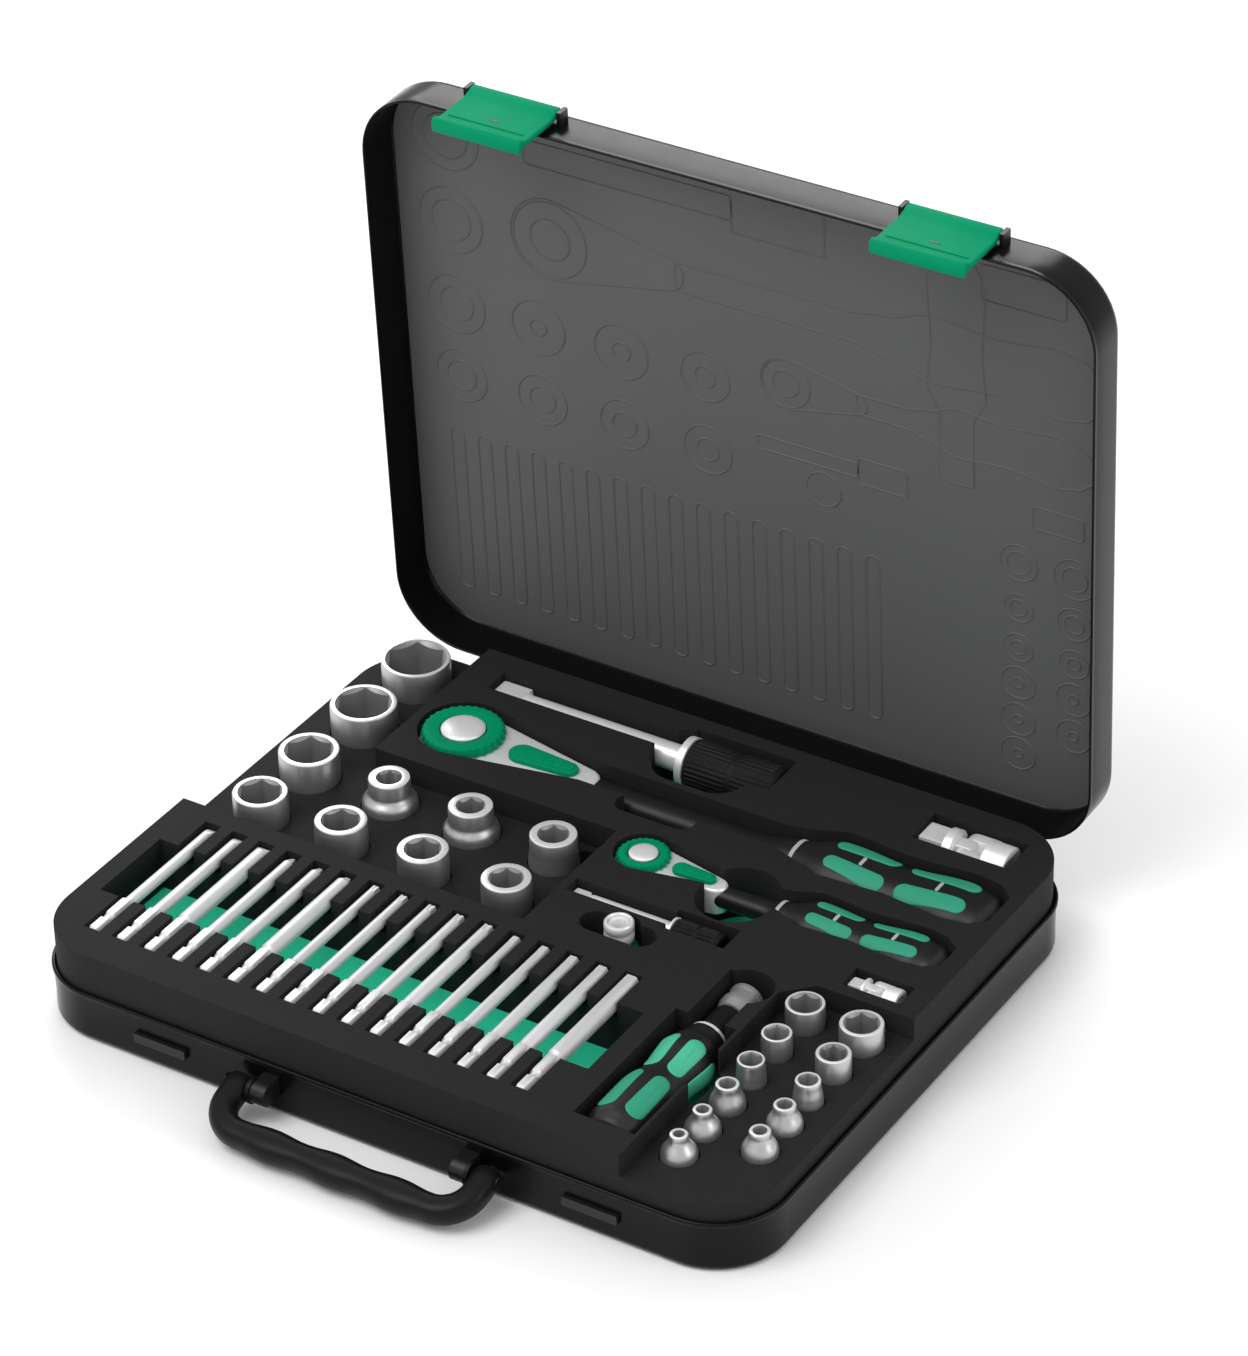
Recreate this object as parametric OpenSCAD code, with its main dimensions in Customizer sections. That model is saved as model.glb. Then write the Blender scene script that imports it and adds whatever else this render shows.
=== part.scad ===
// Socket wrench set in a flat hinged case. Millimetres, +Z up, front of the case towards -Y.
// The origin is the centre of the base's underside. The lid stands open at rest.

/* [Case] */
// Width of the case, left to right
case_w = 355; // [352:1:358]
// Depth of the case, front to back
case_d = 285; // [283:1:288]
// Height of the base, from its floor to its rim
base_h = 25; // [24.5:0.25:25.5]
// Depth of the lid
lid_h = 23.5; // [23.5:0.25:25]
// Corner radius of the case, seen from above
corner_r = 33; // [28:1:38]
// Thickness of the base and lid walls
wall = 1.2; // [1:0.1:1.4]
// Angle that the lid has turned from closed at rest
open_angle = 87.5; // [80:0.5:92]

/* [Foam] */
// Height of the foam's upper surface
foam_top = 43.7; // [43:0.1:44]
// Height of the lowered foam around the large sockets
large_field_z = 31; // [29:0.5:33]
// Height of the lowered foam around the small sockets
small_field_z = 33; // [31:0.5:34]
// Height of the green bottom layer
green_top = 18; // [17.8:0.1:18.2]
// Gap between a tool and its pocket
pocket_gap = 0.6; // [0.5:0.1:0.8]

/* [Sockets] */
// Height of the large sockets' upper ends
large_top = 45.6; // [45:0.1:46.4]
// Length of a large socket
large_len = 37; // [36:0.5:38]
// Spacing of the large sockets
large_pitch = 42.4; // [41:0.2:43]
// Height of the small sockets' upper ends
small_top = 44; // [43:0.1:46]
// Length of a small socket
small_len = 25; // [23:0.5:25]

/* [Bits] */
// Length of a screwdriver bit
bit_len = 86; // [80:1:87]
// Spacing of the bits
bit_pitch = 14.2; // [14:0.1:14.4]
// Height of the bits' centre lines
bit_z = 40.4; // [39:0.2:40.6]

/* [Hardware] */
// Distance from the centre to each latch
latch_x = 105.5; // [103:0.5:108]
// Distance from the centre to each hinge
hinge_x = 105; // [95:1:115]
// Outer width of the carrying handle
handle_w = 134; // [130:1:136]
// Angle of the handle below horizontal at rest
handle_drop = 15; // [12:0.5:15]

/* [Hidden] */
$fn = 64;
eps = 0.01;
side_inset = 0.05;

// Case
rim_gap = 0.3;
bead = 0.8;
bead_h = 2.2;
base_w = case_w - 2 * bead;
base_d = case_d - 2 * bead;
lid_z = base_h + rim_gap;
lid_top = lid_z + lid_h;
front_y = -case_d / 2;
base_front_y = -base_d / 2;
base_rear_y = base_d / 2;
panel_t = 1;
panel_inset = 2.2;

// Hinges
hinge_y = case_d / 2 + 5.5;
hinge_z = base_h + 2.4;
hinge_w = 50;
knuckle_r = 3.4;
lid_knuckle_w = 17.4;
knuckle_gap = 0.3;
pin_r = 1.6;
running = 0.05;

// Latches
latch_w = 44;
latch_t = 2.6;
latch_in_y = front_y - 1.4;
latch_out_y = latch_in_y - latch_t;
latch_pivot_y = front_y - 3.9;
latch_pivot_z = lid_z + 14;
latch_low_z = 7.6;
latch_lip = 2.6;
latch_barrel_r = 2.5;
latch_pin_r = 1.4;
ear_t = 2;
catch_w = 26;
catch_z = 10.6;
catch_h = 4.4;
catch_out = 1.9;

// Handle
handle_y = front_y - 6.5;
handle_z = 14.5;
handle_t = 12;
arm_w = 13;
bar_in = 14.5;
bar_out = 29.5;
handle_pin_r = 3;
bracket_in_x = handle_w / 2 - arm_w - 8.5;
bracket_w = 7.5;

// Foam outline
foam_w = base_w - 2 * wall - 0.6;
foam_d = base_d - 2 * wall - 0.6;
foam_r = corner_r - bead - wall - 0.3;
foam_floor = wall + 0.1;
field_left_x = -125;
field_right_x = 0;
field_front_y = -26;
field_rear_y = 48;
small_field_x = 118;
small_field_y = -4;
small_field_cut = 12;

// Large sockets: across flats, outer diameter, base diameter, column, row centre
socket_x = -148;
rows = [114.8, 72.9, 30.3, -7];
LARGE = [
    [24, 31.5, 31.5, 0, rows[0]], [22, 30.2, 30.2, 0, rows[1]], [19, 27.2, 27.2, 0, rows[2]],
    [17, 24.4, 24.4, 0, rows[3]], [15, 23.2, 23.2, 1, rows[3]], [14, 22.6, 22.6, 2, rows[3]],
    [13, 22, 22, 3, rows[3]], [12, 21, 22.4, 3, rows[2]], [11, 19.9, 25, 2, rows[2]],
    [10, 18.7, 25, 1, rows[2]]
];
large_drive = 12.7;
large_drive_depth = 15;
neck_len = 7.5;
neck_cone = 4;

// Small sockets: across flats, outer diameter, base diameter, x, y
small_left_x = 131.4;
small_right_x = 158;
SMALL = [
    [13, 18.8, 18.8, small_right_x, -17], [12, 16.8, 16.8, small_left_x, -17],
    [10, 15, 15, small_right_x, -40], [9, 13, 13, small_left_x, -40],
    [8, 11.6, 13, small_left_x, -60.5], [7, 10.8, 13, small_right_x, -60.5],
    [6, 10, 15.4, small_left_x, -79], [5.5, 9.4, 15.4, small_right_x, -79],
    [5, 9, 15.4, small_right_x, -98.3], [4.5, 8.2, 15.4, small_left_x, -98.3],
    [4, 7.8, 15.4, small_left_x, -116.4]
];
small_drive = 6.35;
small_drive_depth = 9;
small_neck_len = 2.5;
small_neck_cone = 6;

// Bits
bit_x = -152.5;
bit_front_y = -122.4;
bit_shank_len = 26;
bit_tip_len = 7;
BIT_R = [2.6, 2.8, 3.7, 2.7, 2.9, 3.7, 2.4, 2.6, 2.8, 3.0, 3.2, 2.5, 2.7, 3.0, 3.3, 3.9];
bit_shank_r = 6.35 / sqrt(3);
trough_front_y = -99;
trough_rear_y = -56;
trough_x = [-166, 78];
bit_rows_y = [bit_front_y - 1, bit_front_y + bit_len + 1];

// Ratchets: head centre x, axis y, head radius, head floor z, head top z, neck end x, neck radius,
// handle half widths [[x, half width], ...], handle centre z, handle half heights [[x, half height], ...],
// spindle radius, ring radius, ring height, button radius, square size, square length,
// lever pivot x, lever tip x, lever radius
BIG = [
    -100, 80.5, 20, 20, 39.4, -38, 8,
    [[-36, 7.5], [58, 7.5], [70, 9.5], [88, 16.5], [120, 14], [150, 17], [162, 15], [168, 9]],
    32.2, [[-36, 6.5], [60, 6.5], [84, 12.5], [120, 12], [150, 13.2], [162, 12], [168, 7]],
    12, 19, 4.4, 10, 12.6, 14,
    -69, -45, 6.2
];
LITTLE = [
    18, 40.8, 12.6, 27, 40, 54, 5.2,
    [[56, 5], [80, 5], [88, 7], [100, 12.2], [124, 10.4], [150, 12.6], [160, 11], [166, 6]],
    34.4, [[56, 4.6], [82, 4.6], [98, 9.6], [124, 9], [150, 10.4], [160, 9], [166, 5]],
    7.5, 12, 3.2, 6.4, 6.3, 8,
    37, 51, 4
];
button_sunk = 1.2;
button_stem_r = 3;
lever_t = 3;
lever_pin_r = 2;
ring_gap = 0.3;
tang_r = 4;
tang_len = 60;

// Extensions: left end x, y, centre z, shaft radius, female end x, right end x, female radius, square size,
// room in the foam beyond the right end
LONG = [-108, 120, 34.2, 6.2, -9, 40, 11.6, 12.6, 0];
SHORT = [4.5, 5.5, 37, 3.8, 54, 78, 6.6, 6.3, 4.5];

// Universal joints: left end x, y, centre z, square size, square length, body radius, pivot x, right end x
BIG_JOINT = [112, 118, 35.9, 12.6, 12, 9.6, 134.5, 154.5];
LITTLE_JOINT = [138, 8.5, 38.5, 6.3, 7, 5.8, 150, 162];
joint_gap = 0.15;
joint_swing = 2.5;

// Standing quick-change adaptor
adaptor_x = 37;
adaptor_y = -9.5;
adaptor_top = 46;
adaptor_low = 12;
adaptor_r = 8.5;
collar_r = 6.6;
collar_len = 9;
collar_travel = 3;
hex_drive = 6.35;

// Bit driver along Y
driver_x = 102;
driver_z = 32.2;
driver_tip_y = -13;
driver_ring_y = -47;
driver_end_y = -125;
driver_grip_r = 13.8;
driver_shank_r = 7;
driver_chuck_r = 8.2;

// Finger pockets through the upper foam: x, y of each round end, radius
FINGERS = [
    [[-2, 106], [16, 106], 14], [[-7, 112], [-7, 117], 14], [[69, 31], [69, 37], 17],
    [[-6, 68.5], [20, 68.5], 6.5],
    [[112, -82], [112, -68], 8], [[27, -12], [49, -12], 7], [[-9, 37], [-7, 37], 7.5],
    [[104, -19], [106, -19], 11]
];

// ---- Shared shapes

module rounded_rect(w, d, r) {
    square([w - 2 * r, d], center = true);
    square([w, d - 2 * r], center = true);
    for (x = [-1, 1], y = [-1, 1]) translate([x * (w / 2 - r), y * (d / 2 - r)]) circle(r);
}

module slab(z0, z1) {
    translate([0, 0, z0]) linear_extrude(z1 - z0) children();
}

// Two circles and the straight sides between them, along +X from the first centre
module tapered_slot(r0, r1, len) {
    a = acos((r0 - r1) / len);
    near = r0 - side_inset;
    far = r1 - side_inset;
    circle(r0);
    translate([len, 0]) circle(r1);
    polygon([
        [near * cos(a), near * sin(a)], [near * cos(a), -near * sin(a)],
        [len + far * cos(a), -far * sin(a)], [len + far * cos(a), far * sin(a)]
    ]);
}

module slot_between(p, q, r) {
    d = q - p;
    translate(p) rotate(atan2(d[1], d[0])) tapered_slot(r, r, norm(d));
}

// Closed outline of half widths [[x, half], ...], mirrored about the x axis and grown by g
module spine_outline(halves, g = 0) {
    last = len(halves) - 1;
    grown = [for (i = [0:last]) [
        halves[i][0] + (i == 0 ? -g : i == last ? g : 0), halves[i][1] + g
    ]];
    polygon(concat(grown, [for (i = [last:-1:0]) [grown[i][0], -grown[i][1]]]));
}

module along_x(x, y, z) {
    translate([x, y, z]) rotate([0, 90, 0]) children();
}

module square_bar(size, len, r_cut) {
    intersection() {
        translate([-size / 2, -size / 2, 0]) cube([size, size, len]);
        cylinder(r = r_cut, h = len);
    }
}

// Turns what is modelled on the closed lid to the lid's rest position
module on_lid() {
    translate([0, hinge_y, hinge_z]) rotate([-open_angle, 0, 0])
        translate([0, -hinge_y, -hinge_z]) children();
}

// ---- Case

module base_shell() {
    color([0.04, 0.04, 0.045]) difference() {
        union() {
            slab(0, base_h) rounded_rect(base_w, base_d, corner_r - bead);
            slab(base_h - bead_h, base_h) rounded_rect(case_w, case_d, corner_r);
        }
        slab(wall, base_h + 1)
            rounded_rect(base_w - 2 * wall, base_d - 2 * wall, corner_r - bead - wall);
    }
}

module lid_shell() {
    color([0.04, 0.04, 0.045]) on_lid() difference() {
        slab(lid_z, lid_top) rounded_rect(case_w, case_d, corner_r);
        slab(lid_z - 1, lid_top - wall)
            rounded_rect(case_w - 2 * wall, case_d - 2 * wall, corner_r - wall);
    }
}

module lid_panel() {
    color([0.35, 0.35, 0.35]) on_lid() slab(lid_top - wall - panel_t, lid_top - wall)
        rounded_rect(case_w - 2 * panel_inset, case_d - 2 * panel_inset, corner_r - panel_inset);
}

module foam_outline() {
    rounded_rect(foam_w, foam_d, foam_r);
}

module large_socket_holes(z0, z1) {
    for (s = LARGE) translate([socket_x + s[3] * large_pitch, s[4]])
        slab(z0, z1) circle(s[2] / 2 + pocket_gap);
}

module adaptor_hole(z0, z1) {
    translate([adaptor_x, adaptor_y]) slab(z0, z1) circle(adaptor_r + pocket_gap);
}

module foam_base() {
    color([0, 0.66, 0.46]) difference() {
        slab(foam_floor, green_top) foam_outline();
        large_socket_holes(large_top - large_len - 0.4, green_top + 1);
        adaptor_hole(adaptor_low - 0.4, green_top + 1);
        translate([BIG[0], BIG[1]]) slab(BIG[3] - BIG[15] - 0.6, green_top + 1) circle(BIG[14] * 0.8);
    }
}

module large_socket_field() {
    translate([-foam_w / 2 - 1, field_front_y])
        square([field_left_x + foam_w / 2 + 1, foam_d / 2 - field_front_y + 1]);
    translate([field_left_x - 1, field_front_y])
        square([field_right_x - field_left_x + 1, field_rear_y - field_front_y]);
}

module small_socket_field() {
    far_x = foam_w / 2 + 1;
    near_y = -foam_d / 2 - 1;
    polygon([
        [small_field_x, near_y], [far_x, near_y], [far_x, small_field_y],
        [small_field_x + small_field_cut, small_field_y],
        [small_field_x, small_field_y - small_field_cut]
    ]);
}

module ratchet_pocket(k) {
    g = pocket_gap;
    translate([k[0], k[1]]) {
        slab(k[3] - 0.5, foam_top + 1) tapered_slot(k[2] + g, k[6] + g, k[5] - k[0]);
        slab(green_top - 1, foam_top + 1) circle(k[14] * 0.8);
    }
    translate([0, k[1]]) slab(k[8] - k[9][4][1] - 0.5, foam_top + 1) spine_outline(k[7], g);
}

module extension_pocket(k) {
    g = pocket_gap;
    translate([0, k[1]]) {
        slab(k[2] - k[3] - 0.4, foam_top + 1)
            translate([k[0] - g, -k[3] - g]) square([k[4] - k[0] + g, 2 * (k[3] + g)]);
        slab(k[2] - k[6] - 0.4, foam_top + 1)
            translate([k[4] - g, -k[6] - g]) square([k[5] - k[4] + 2 * g + k[8], 2 * (k[6] + g)]);
    }
}

module joint_pocket(k) {
    g = pocket_gap;
    translate([k[0] - g, k[1] - k[5] - g]) slab(k[2] - k[5] - 0.4, foam_top + 1)
        square([k[7] - k[0] + 2 * g + joint_swing, 2 * (k[5] + g)]);
}

module bit_pockets() {
    for (i = [0:15]) {
        half = max(BIT_R[i], bit_shank_r) + 0.4;
        translate([bit_x + i * bit_pitch - half, bit_rows_y[0]]) slab(bit_z - half, foam_top + 1)
            square([2 * half, bit_rows_y[1] - bit_rows_y[0]]);
    }
    translate([trough_x[0], trough_front_y]) slab(green_top - 1, foam_top + 1)
        square([trough_x[1] - trough_x[0], trough_rear_y - trough_front_y]);
}

module driver_pocket() {
    g = pocket_gap;
    slab(green_top - 1, foam_top + 1) translate([driver_x, 0]) {
        translate([-driver_grip_r - g, driver_end_y - g])
            square([2 * (driver_grip_r + g), driver_ring_y - driver_end_y + 2 * g]);
        translate([-driver_chuck_r - g, driver_ring_y])
            square([2 * (driver_chuck_r + g), driver_tip_y - driver_ring_y + g]);
    }
}

module foam_tray() {
    color([0.13, 0.13, 0.14]) difference() {
        slab(green_top, foam_top) foam_outline();
        slab(large_field_z, foam_top + 1) large_socket_field();
        slab(small_field_z, foam_top + 1) small_socket_field();
        large_socket_holes(green_top - 1, foam_top + 1);
        adaptor_hole(green_top - 1, foam_top + 1);
        for (s = SMALL) translate([s[3], s[4]])
            slab(small_top - small_len - 0.4, foam_top + 1) circle(s[2] / 2 + pocket_gap);
        for (k = [BIG, LITTLE]) ratchet_pocket(k);
        for (k = [LONG, SHORT]) extension_pocket(k);
        for (k = [BIG_JOINT, LITTLE_JOINT]) joint_pocket(k);
        for (f = FINGERS) slab(green_top - 1, foam_top + 1) slot_between(f[0], f[1], f[2]);
        bit_pockets();
        driver_pocket();
    }
}

// ---- Hinges, latches and handle

// One knuckle from x0 to x1, on the hinge axis
module knuckle(x0, x1) {
    along_x(x0, hinge_y, hinge_z) cylinder(r = knuckle_r, h = x1 - x0);
}

module hinge_bores(r) {
    for (s = [-1, 1]) along_x(s * hinge_x - hinge_w / 2 - 1, hinge_y, hinge_z)
        cylinder(r = r, h = hinge_w + 2);
}

module hinge_base_leaves() {
    near = lid_knuckle_w / 2 + knuckle_gap;
    color([0.05, 0.05, 0.055]) difference() {
        for (s = [-1, 1]) translate([s * hinge_x, 0, 0]) {
            translate([-hinge_w / 2, base_rear_y, 9]) cube([hinge_w, 2, base_h - bead_h - 9.3]);
            for (x = [-hinge_w / 2, near]) {
                knuckle(x, x + hinge_w / 2 - near);
                translate([x, base_rear_y + 1.2, 15])
                    cube([hinge_w / 2 - near, hinge_y - base_rear_y - 1.2, base_h - bead_h - 15.3]);
                translate([x, hinge_y - 4.6, 20])
                    cube([hinge_w / 2 - near, 4.6, hinge_z - 21.5]);
            }
        }
        hinge_bores(pin_r);
    }
}

module hinge_lid_leaves() {
    color([0.05, 0.05, 0.055]) on_lid() difference() {
        for (s = [-1, 1]) translate([s * hinge_x, 0, 0]) {
            translate([-hinge_w / 2, case_d / 2, lid_z + 6]) cube([hinge_w, 2, 11]);
            knuckle(-lid_knuckle_w / 2, lid_knuckle_w / 2);
            translate([-lid_knuckle_w / 2, hinge_y - 4.5, hinge_z + 1])
                cube([lid_knuckle_w, 4.5, 6.5]);
        }
        hinge_bores(pin_r + running);
    }
}

module hinge_pins() {
    color([0.6, 0.6, 0.62]) for (s = [-1, 1]) along_x(s * hinge_x - hinge_w / 2, hinge_y, hinge_z)
        cylinder(r = pin_r, h = hinge_w);
}

module latch(x) {
    color([0, 0.66, 0.46]) on_lid() translate([x - latch_w / 2, 0, 0]) difference() {
        union() {
            translate([0, latch_out_y, latch_low_z])
                cube([latch_w, latch_t, latch_pivot_z - latch_low_z]);
            translate([0, latch_in_y - eps, latch_low_z])
                cube([latch_w, base_front_y - 0.6 - latch_in_y, latch_lip]);
            along_x(0, latch_pivot_y, latch_pivot_z) cylinder(r = latch_barrel_r, h = latch_w);
        }
        along_x(-1, latch_pivot_y, latch_pivot_z)
            cylinder(r = latch_pin_r + running, h = latch_w + 2);
    }
}

module latch_left() { latch(-latch_x); }
module latch_right() { latch(latch_x); }

module latch_pivots() {
    span = latch_w + 2 * ear_t + 0.6;
    color([0.05, 0.05, 0.055]) on_lid() for (s = [-1, 1]) translate([s * latch_x - span / 2, 0, 0]) {
        for (x = [0, span - ear_t]) translate([x, latch_pivot_y - 2, latch_pivot_z - 3])
            cube([ear_t, front_y - latch_pivot_y + 2, 6]);
        along_x(eps, latch_pivot_y, latch_pivot_z) cylinder(r = latch_pin_r, h = span - 2 * eps);
    }
}

module latch_catches() {
    color([0.05, 0.05, 0.055]) for (s = [-1, 1])
        translate([s * latch_x - catch_w / 2, base_front_y - catch_out, catch_z])
            cube([catch_w, catch_out, catch_h]);
}

// The handle lies flat along -Y from its pivots, then drops by handle_drop
module handle() {
    half = handle_w / 2;
    round_out = 15;
    round_in = 8;
    color([0.05, 0.05, 0.055]) translate([0, handle_y, handle_z]) rotate([handle_drop, 0, 0])
    difference() {
        union() {
            translate([0, 0, -handle_t / 2]) linear_extrude(handle_t) difference() {
                union() {
                    translate([-half, -(bar_out - round_out)])
                        square([handle_w, bar_out - round_out]);
                    translate([-half + round_out, -bar_out]) square([handle_w - 2 * round_out, bar_out]);
                    for (s = [-1, 1]) translate([s * (half - round_out), -(bar_out - round_out)])
                        circle(round_out);
                }
                translate([-half + arm_w, -(bar_in - round_in)])
                    square([handle_w - 2 * arm_w, bar_in + 1]);
                translate([-half + arm_w + round_in, -bar_in])
                    square([handle_w - 2 * (arm_w + round_in), bar_in + 1]);
                for (s = [-1, 1]) translate([s * (half - arm_w - round_in), -(bar_in - round_in)])
                    circle(round_in);
            }
            for (x = [-half, half - arm_w]) along_x(x, 0, 0) cylinder(r = handle_t / 2, h = arm_w);
        }
        along_x(-half - 1, 0, 0) cylinder(r = handle_pin_r + running, h = handle_w + 2);
    }
}

module handle_brackets() {
    color([0.05, 0.05, 0.055]) for (s = [-1, 1]) mirror([s < 0 ? 1 : 0, 0, 0]) {
        translate([bracket_in_x, handle_y, handle_z - 5])
            cube([bracket_w, base_front_y - handle_y, 10]);
        along_x(bracket_in_x, handle_y, handle_z) cylinder(r = 5, h = bracket_w);
        along_x(bracket_in_x + 1, handle_y, handle_z)
            cylinder(r = handle_pin_r, h = handle_w / 2 - bracket_in_x - 1.5);
    }
}

// ---- Sockets

// A socket standing with its hexagon up and its square drive down
module socket_body(s, top, len, neck, cone, drive, drive_depth) {
    r = s[1] / 2;
    base_r = s[2] / 2;
    translate([0, 0, top - len]) difference() {
        rotate_extrude() polygon([
            [0, 0], [base_r - 0.6, 0], [base_r, 0.6], [base_r, len - neck - cone],
            [r, len - neck], [r, len - 0.8], [r - 0.8, len], [0, len]
        ]);
        translate([0, 0, drive_depth - 1])
            cylinder(r = s[0] / sqrt(3), h = len - drive_depth + 2, $fn = 6);
        translate([-drive / 2, -drive / 2, -1]) cube([drive, drive, drive_depth + 1]);
    }
}

module large_socket(i) {
    s = LARGE[i];
    color([0.62, 0.62, 0.64]) translate([socket_x + s[3] * large_pitch, s[4], 0])
        socket_body(s, large_top, large_len, neck_len, neck_cone, large_drive, large_drive_depth);
}

function small_name(size) =
    str("small_socket_", floor(size), size > floor(size) ? "_half" : "");

module small_socket(i) {
    s = SMALL[i];
    color([0.62, 0.62, 0.64]) translate([s[3], s[4], 0])
        socket_body(s, small_top, small_len, small_neck_len, small_neck_cone,
            small_drive, small_drive_depth);
}

// ---- Bits

// The hexagonal shank is at the front and the tip at the rear
module bit(i) {
    r = BIT_R[i];
    translate([bit_x + i * bit_pitch, bit_front_y, bit_z]) rotate([-90, 0, 0]) {
        cylinder(r = bit_shank_r, h = bit_shank_len, $fn = 6);
        translate([0, 0, bit_shank_len]) cylinder(r = r, h = bit_len - bit_shank_len - bit_tip_len);
        translate([0, 0, bit_len - bit_tip_len]) cylinder(r1 = r, r2 = r * 0.55, h = bit_tip_len);
    }
}

module bits(first, last) {
    color([0.68, 0.68, 0.7]) for (i = [first:last]) bit(i);
}

module screwdriver_bits() { bits(0, 5); }
module star_bits() { bits(6, 10); }
module hex_bits() { bits(11, 15); }

// ---- Ratchets

module ratchet_head(k) {
    color([0.75, 0.75, 0.77]) difference() {
        union() {
            translate([k[0], k[1], k[3]]) linear_extrude(k[4] - k[3])
                tapered_slot(k[2], k[6], k[5] - k[0]);
            along_x(k[5], k[1], k[8]) cylinder(r = tang_r, h = tang_len);
        }
        translate([k[0], k[1], k[3] - 1]) cylinder(r = k[10] + running, h = k[4] - k[3] + 2);
        translate([k[16], k[1], k[4] - 6]) cylinder(r = lever_pin_r + running, h = 7);
    }
}

module ratchet_handle(k) {
    color([0.05, 0.05, 0.055]) difference() {
        intersection() {
            translate([0, k[1], 0]) linear_extrude(60) spine_outline(k[7]);
            translate([0, k[1] + 30, k[8]]) rotate([90, 0, 0]) linear_extrude(60) spine_outline(k[9]);
        }
        translate([k[0], k[1], k[3] - 1]) linear_extrude(k[4] - k[3] + 2)
            tapered_slot(k[2] + 0.02, k[6] + 0.02, k[5] - k[0]);
        along_x(k[5], k[1], k[8]) cylinder(r = tang_r, h = tang_len);
    }
}

// Square drive with the spindle that fills the head
module ratchet_drive(k) {
    color([0.72, 0.72, 0.74]) translate([k[0], k[1], 0]) difference() {
        union() {
            translate([0, 0, k[3]]) cylinder(r = k[10], h = k[4] + ring_gap - k[3]);
            translate([0, 0, k[3] - k[15]]) square_bar(k[14], k[15] + 1, k[14] * 0.68);
        }
        translate([0, 0, k[4] - 6]) cylinder(r = button_stem_r + running, h = 8);
    }
}

module ratchet_ring(k) {
    color([0, 0.66, 0.46]) translate([k[0], k[1], k[4] + ring_gap]) rotate_extrude()
        polygon([
            [k[13] + 0.4, 0], [k[11], 0], [k[11], k[12] * 0.6],
            [k[11] - k[12], k[12]], [k[13] + 0.4, k[12]]
        ]);
}

module ratchet_button(k) {
    low = k[4] + ring_gap + k[12] - button_sunk;
    rise = k[13] * 0.16;
    dome_r = (k[13] * k[13] + rise * rise) / (2 * rise);
    color([0.8, 0.8, 0.82]) translate([k[0], k[1], 0]) {
        translate([0, 0, low]) cylinder(r = k[13], h = 1.2);
        translate([0, 0, low + 1.2]) intersection() {
            cylinder(r = k[13], h = rise + 1);
            translate([0, 0, rise - dome_r]) sphere(dome_r);
        }
        translate([0, 0, k[4] - 4]) cylinder(r = button_stem_r, h = low + 1 - k[4] + 4);
    }
}

module ratchet_lever(k) {
    color([0, 0.66, 0.46]) translate([k[16], k[1], 0]) {
        slab(k[4] + 0.2, k[4] + lever_t) tapered_slot(k[18], k[18] * 0.7, k[17] - k[16]);
        slab(k[4] - 5, k[4] + 1) circle(lever_pin_r);
    }
}

module large_ratchet_head() { ratchet_head(BIG); }
module large_ratchet_handle() { ratchet_handle(BIG); }
module large_ratchet_drive() { ratchet_drive(BIG); }
module large_ratchet_ring() { ratchet_ring(BIG); }
module large_ratchet_button() { ratchet_button(BIG); }
module large_ratchet_lever() { ratchet_lever(BIG); }
module small_ratchet_head() { ratchet_head(LITTLE); }
module small_ratchet_handle() { ratchet_handle(LITTLE); }
module small_ratchet_drive() { ratchet_drive(LITTLE); }
module small_ratchet_ring() { ratchet_ring(LITTLE); }
module small_ratchet_button() { ratchet_button(LITTLE); }
module small_ratchet_lever() { ratchet_lever(LITTLE); }

// ---- Extensions and universal joints

module extension(k) {
    square_len = k[7] * 1.2;
    color([0.75, 0.75, 0.77]) translate([k[0], k[1], k[2]]) rotate([0, 90, 0]) difference() {
        union() {
            square_bar(k[7], square_len + 1, k[7] * 0.68);
            translate([0, 0, square_len]) cylinder(r = k[3], h = k[4] - k[0] - square_len + 1);
            translate([0, 0, k[4] - k[0]]) cylinder(r = k[6], h = k[5] - k[4]);
        }
        translate([-k[7] / 2 - 0.05, -k[7] / 2 - 0.05, k[5] - k[0] - square_len - 1])
            cube([k[7] + 0.1, k[7] + 0.1, square_len + 2]);
    }
}

module long_extension() { extension(LONG); }
module short_extension() { extension(SHORT); }

// Drive half: a square, a collar and a tongue that carries the cross pin along Y
module joint_drive(k) {
    tongue = k[5] * 0.7;
    reach = k[6] - k[0];
    disc_end = reach - k[5] * 0.6 - 0.4;
    color([0.78, 0.78, 0.8]) translate([k[0], k[1], k[2]]) {
        rotate([0, 90, 0]) {
            square_bar(k[3], k[4] + 0.5, k[3] * 0.68);
            translate([0, 0, k[4]]) cylinder(r = k[5], h = disc_end - k[4]);
        }
        translate([disc_end - 0.5, -tongue / 2, -k[5] * 0.6])
            cube([reach - disc_end + 0.5, tongue, k[5] * 1.2]);
        translate([reach, tongue / 2, 0]) rotate([90, 0, 0]) cylinder(r = k[5] * 0.6, h = tongue);
        translate([reach, k[5] - 0.3, 0]) rotate([90, 0, 0])
            cylinder(r = k[5] * 0.28, h = 2 * k[5] - 0.6);
    }
}

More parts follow.
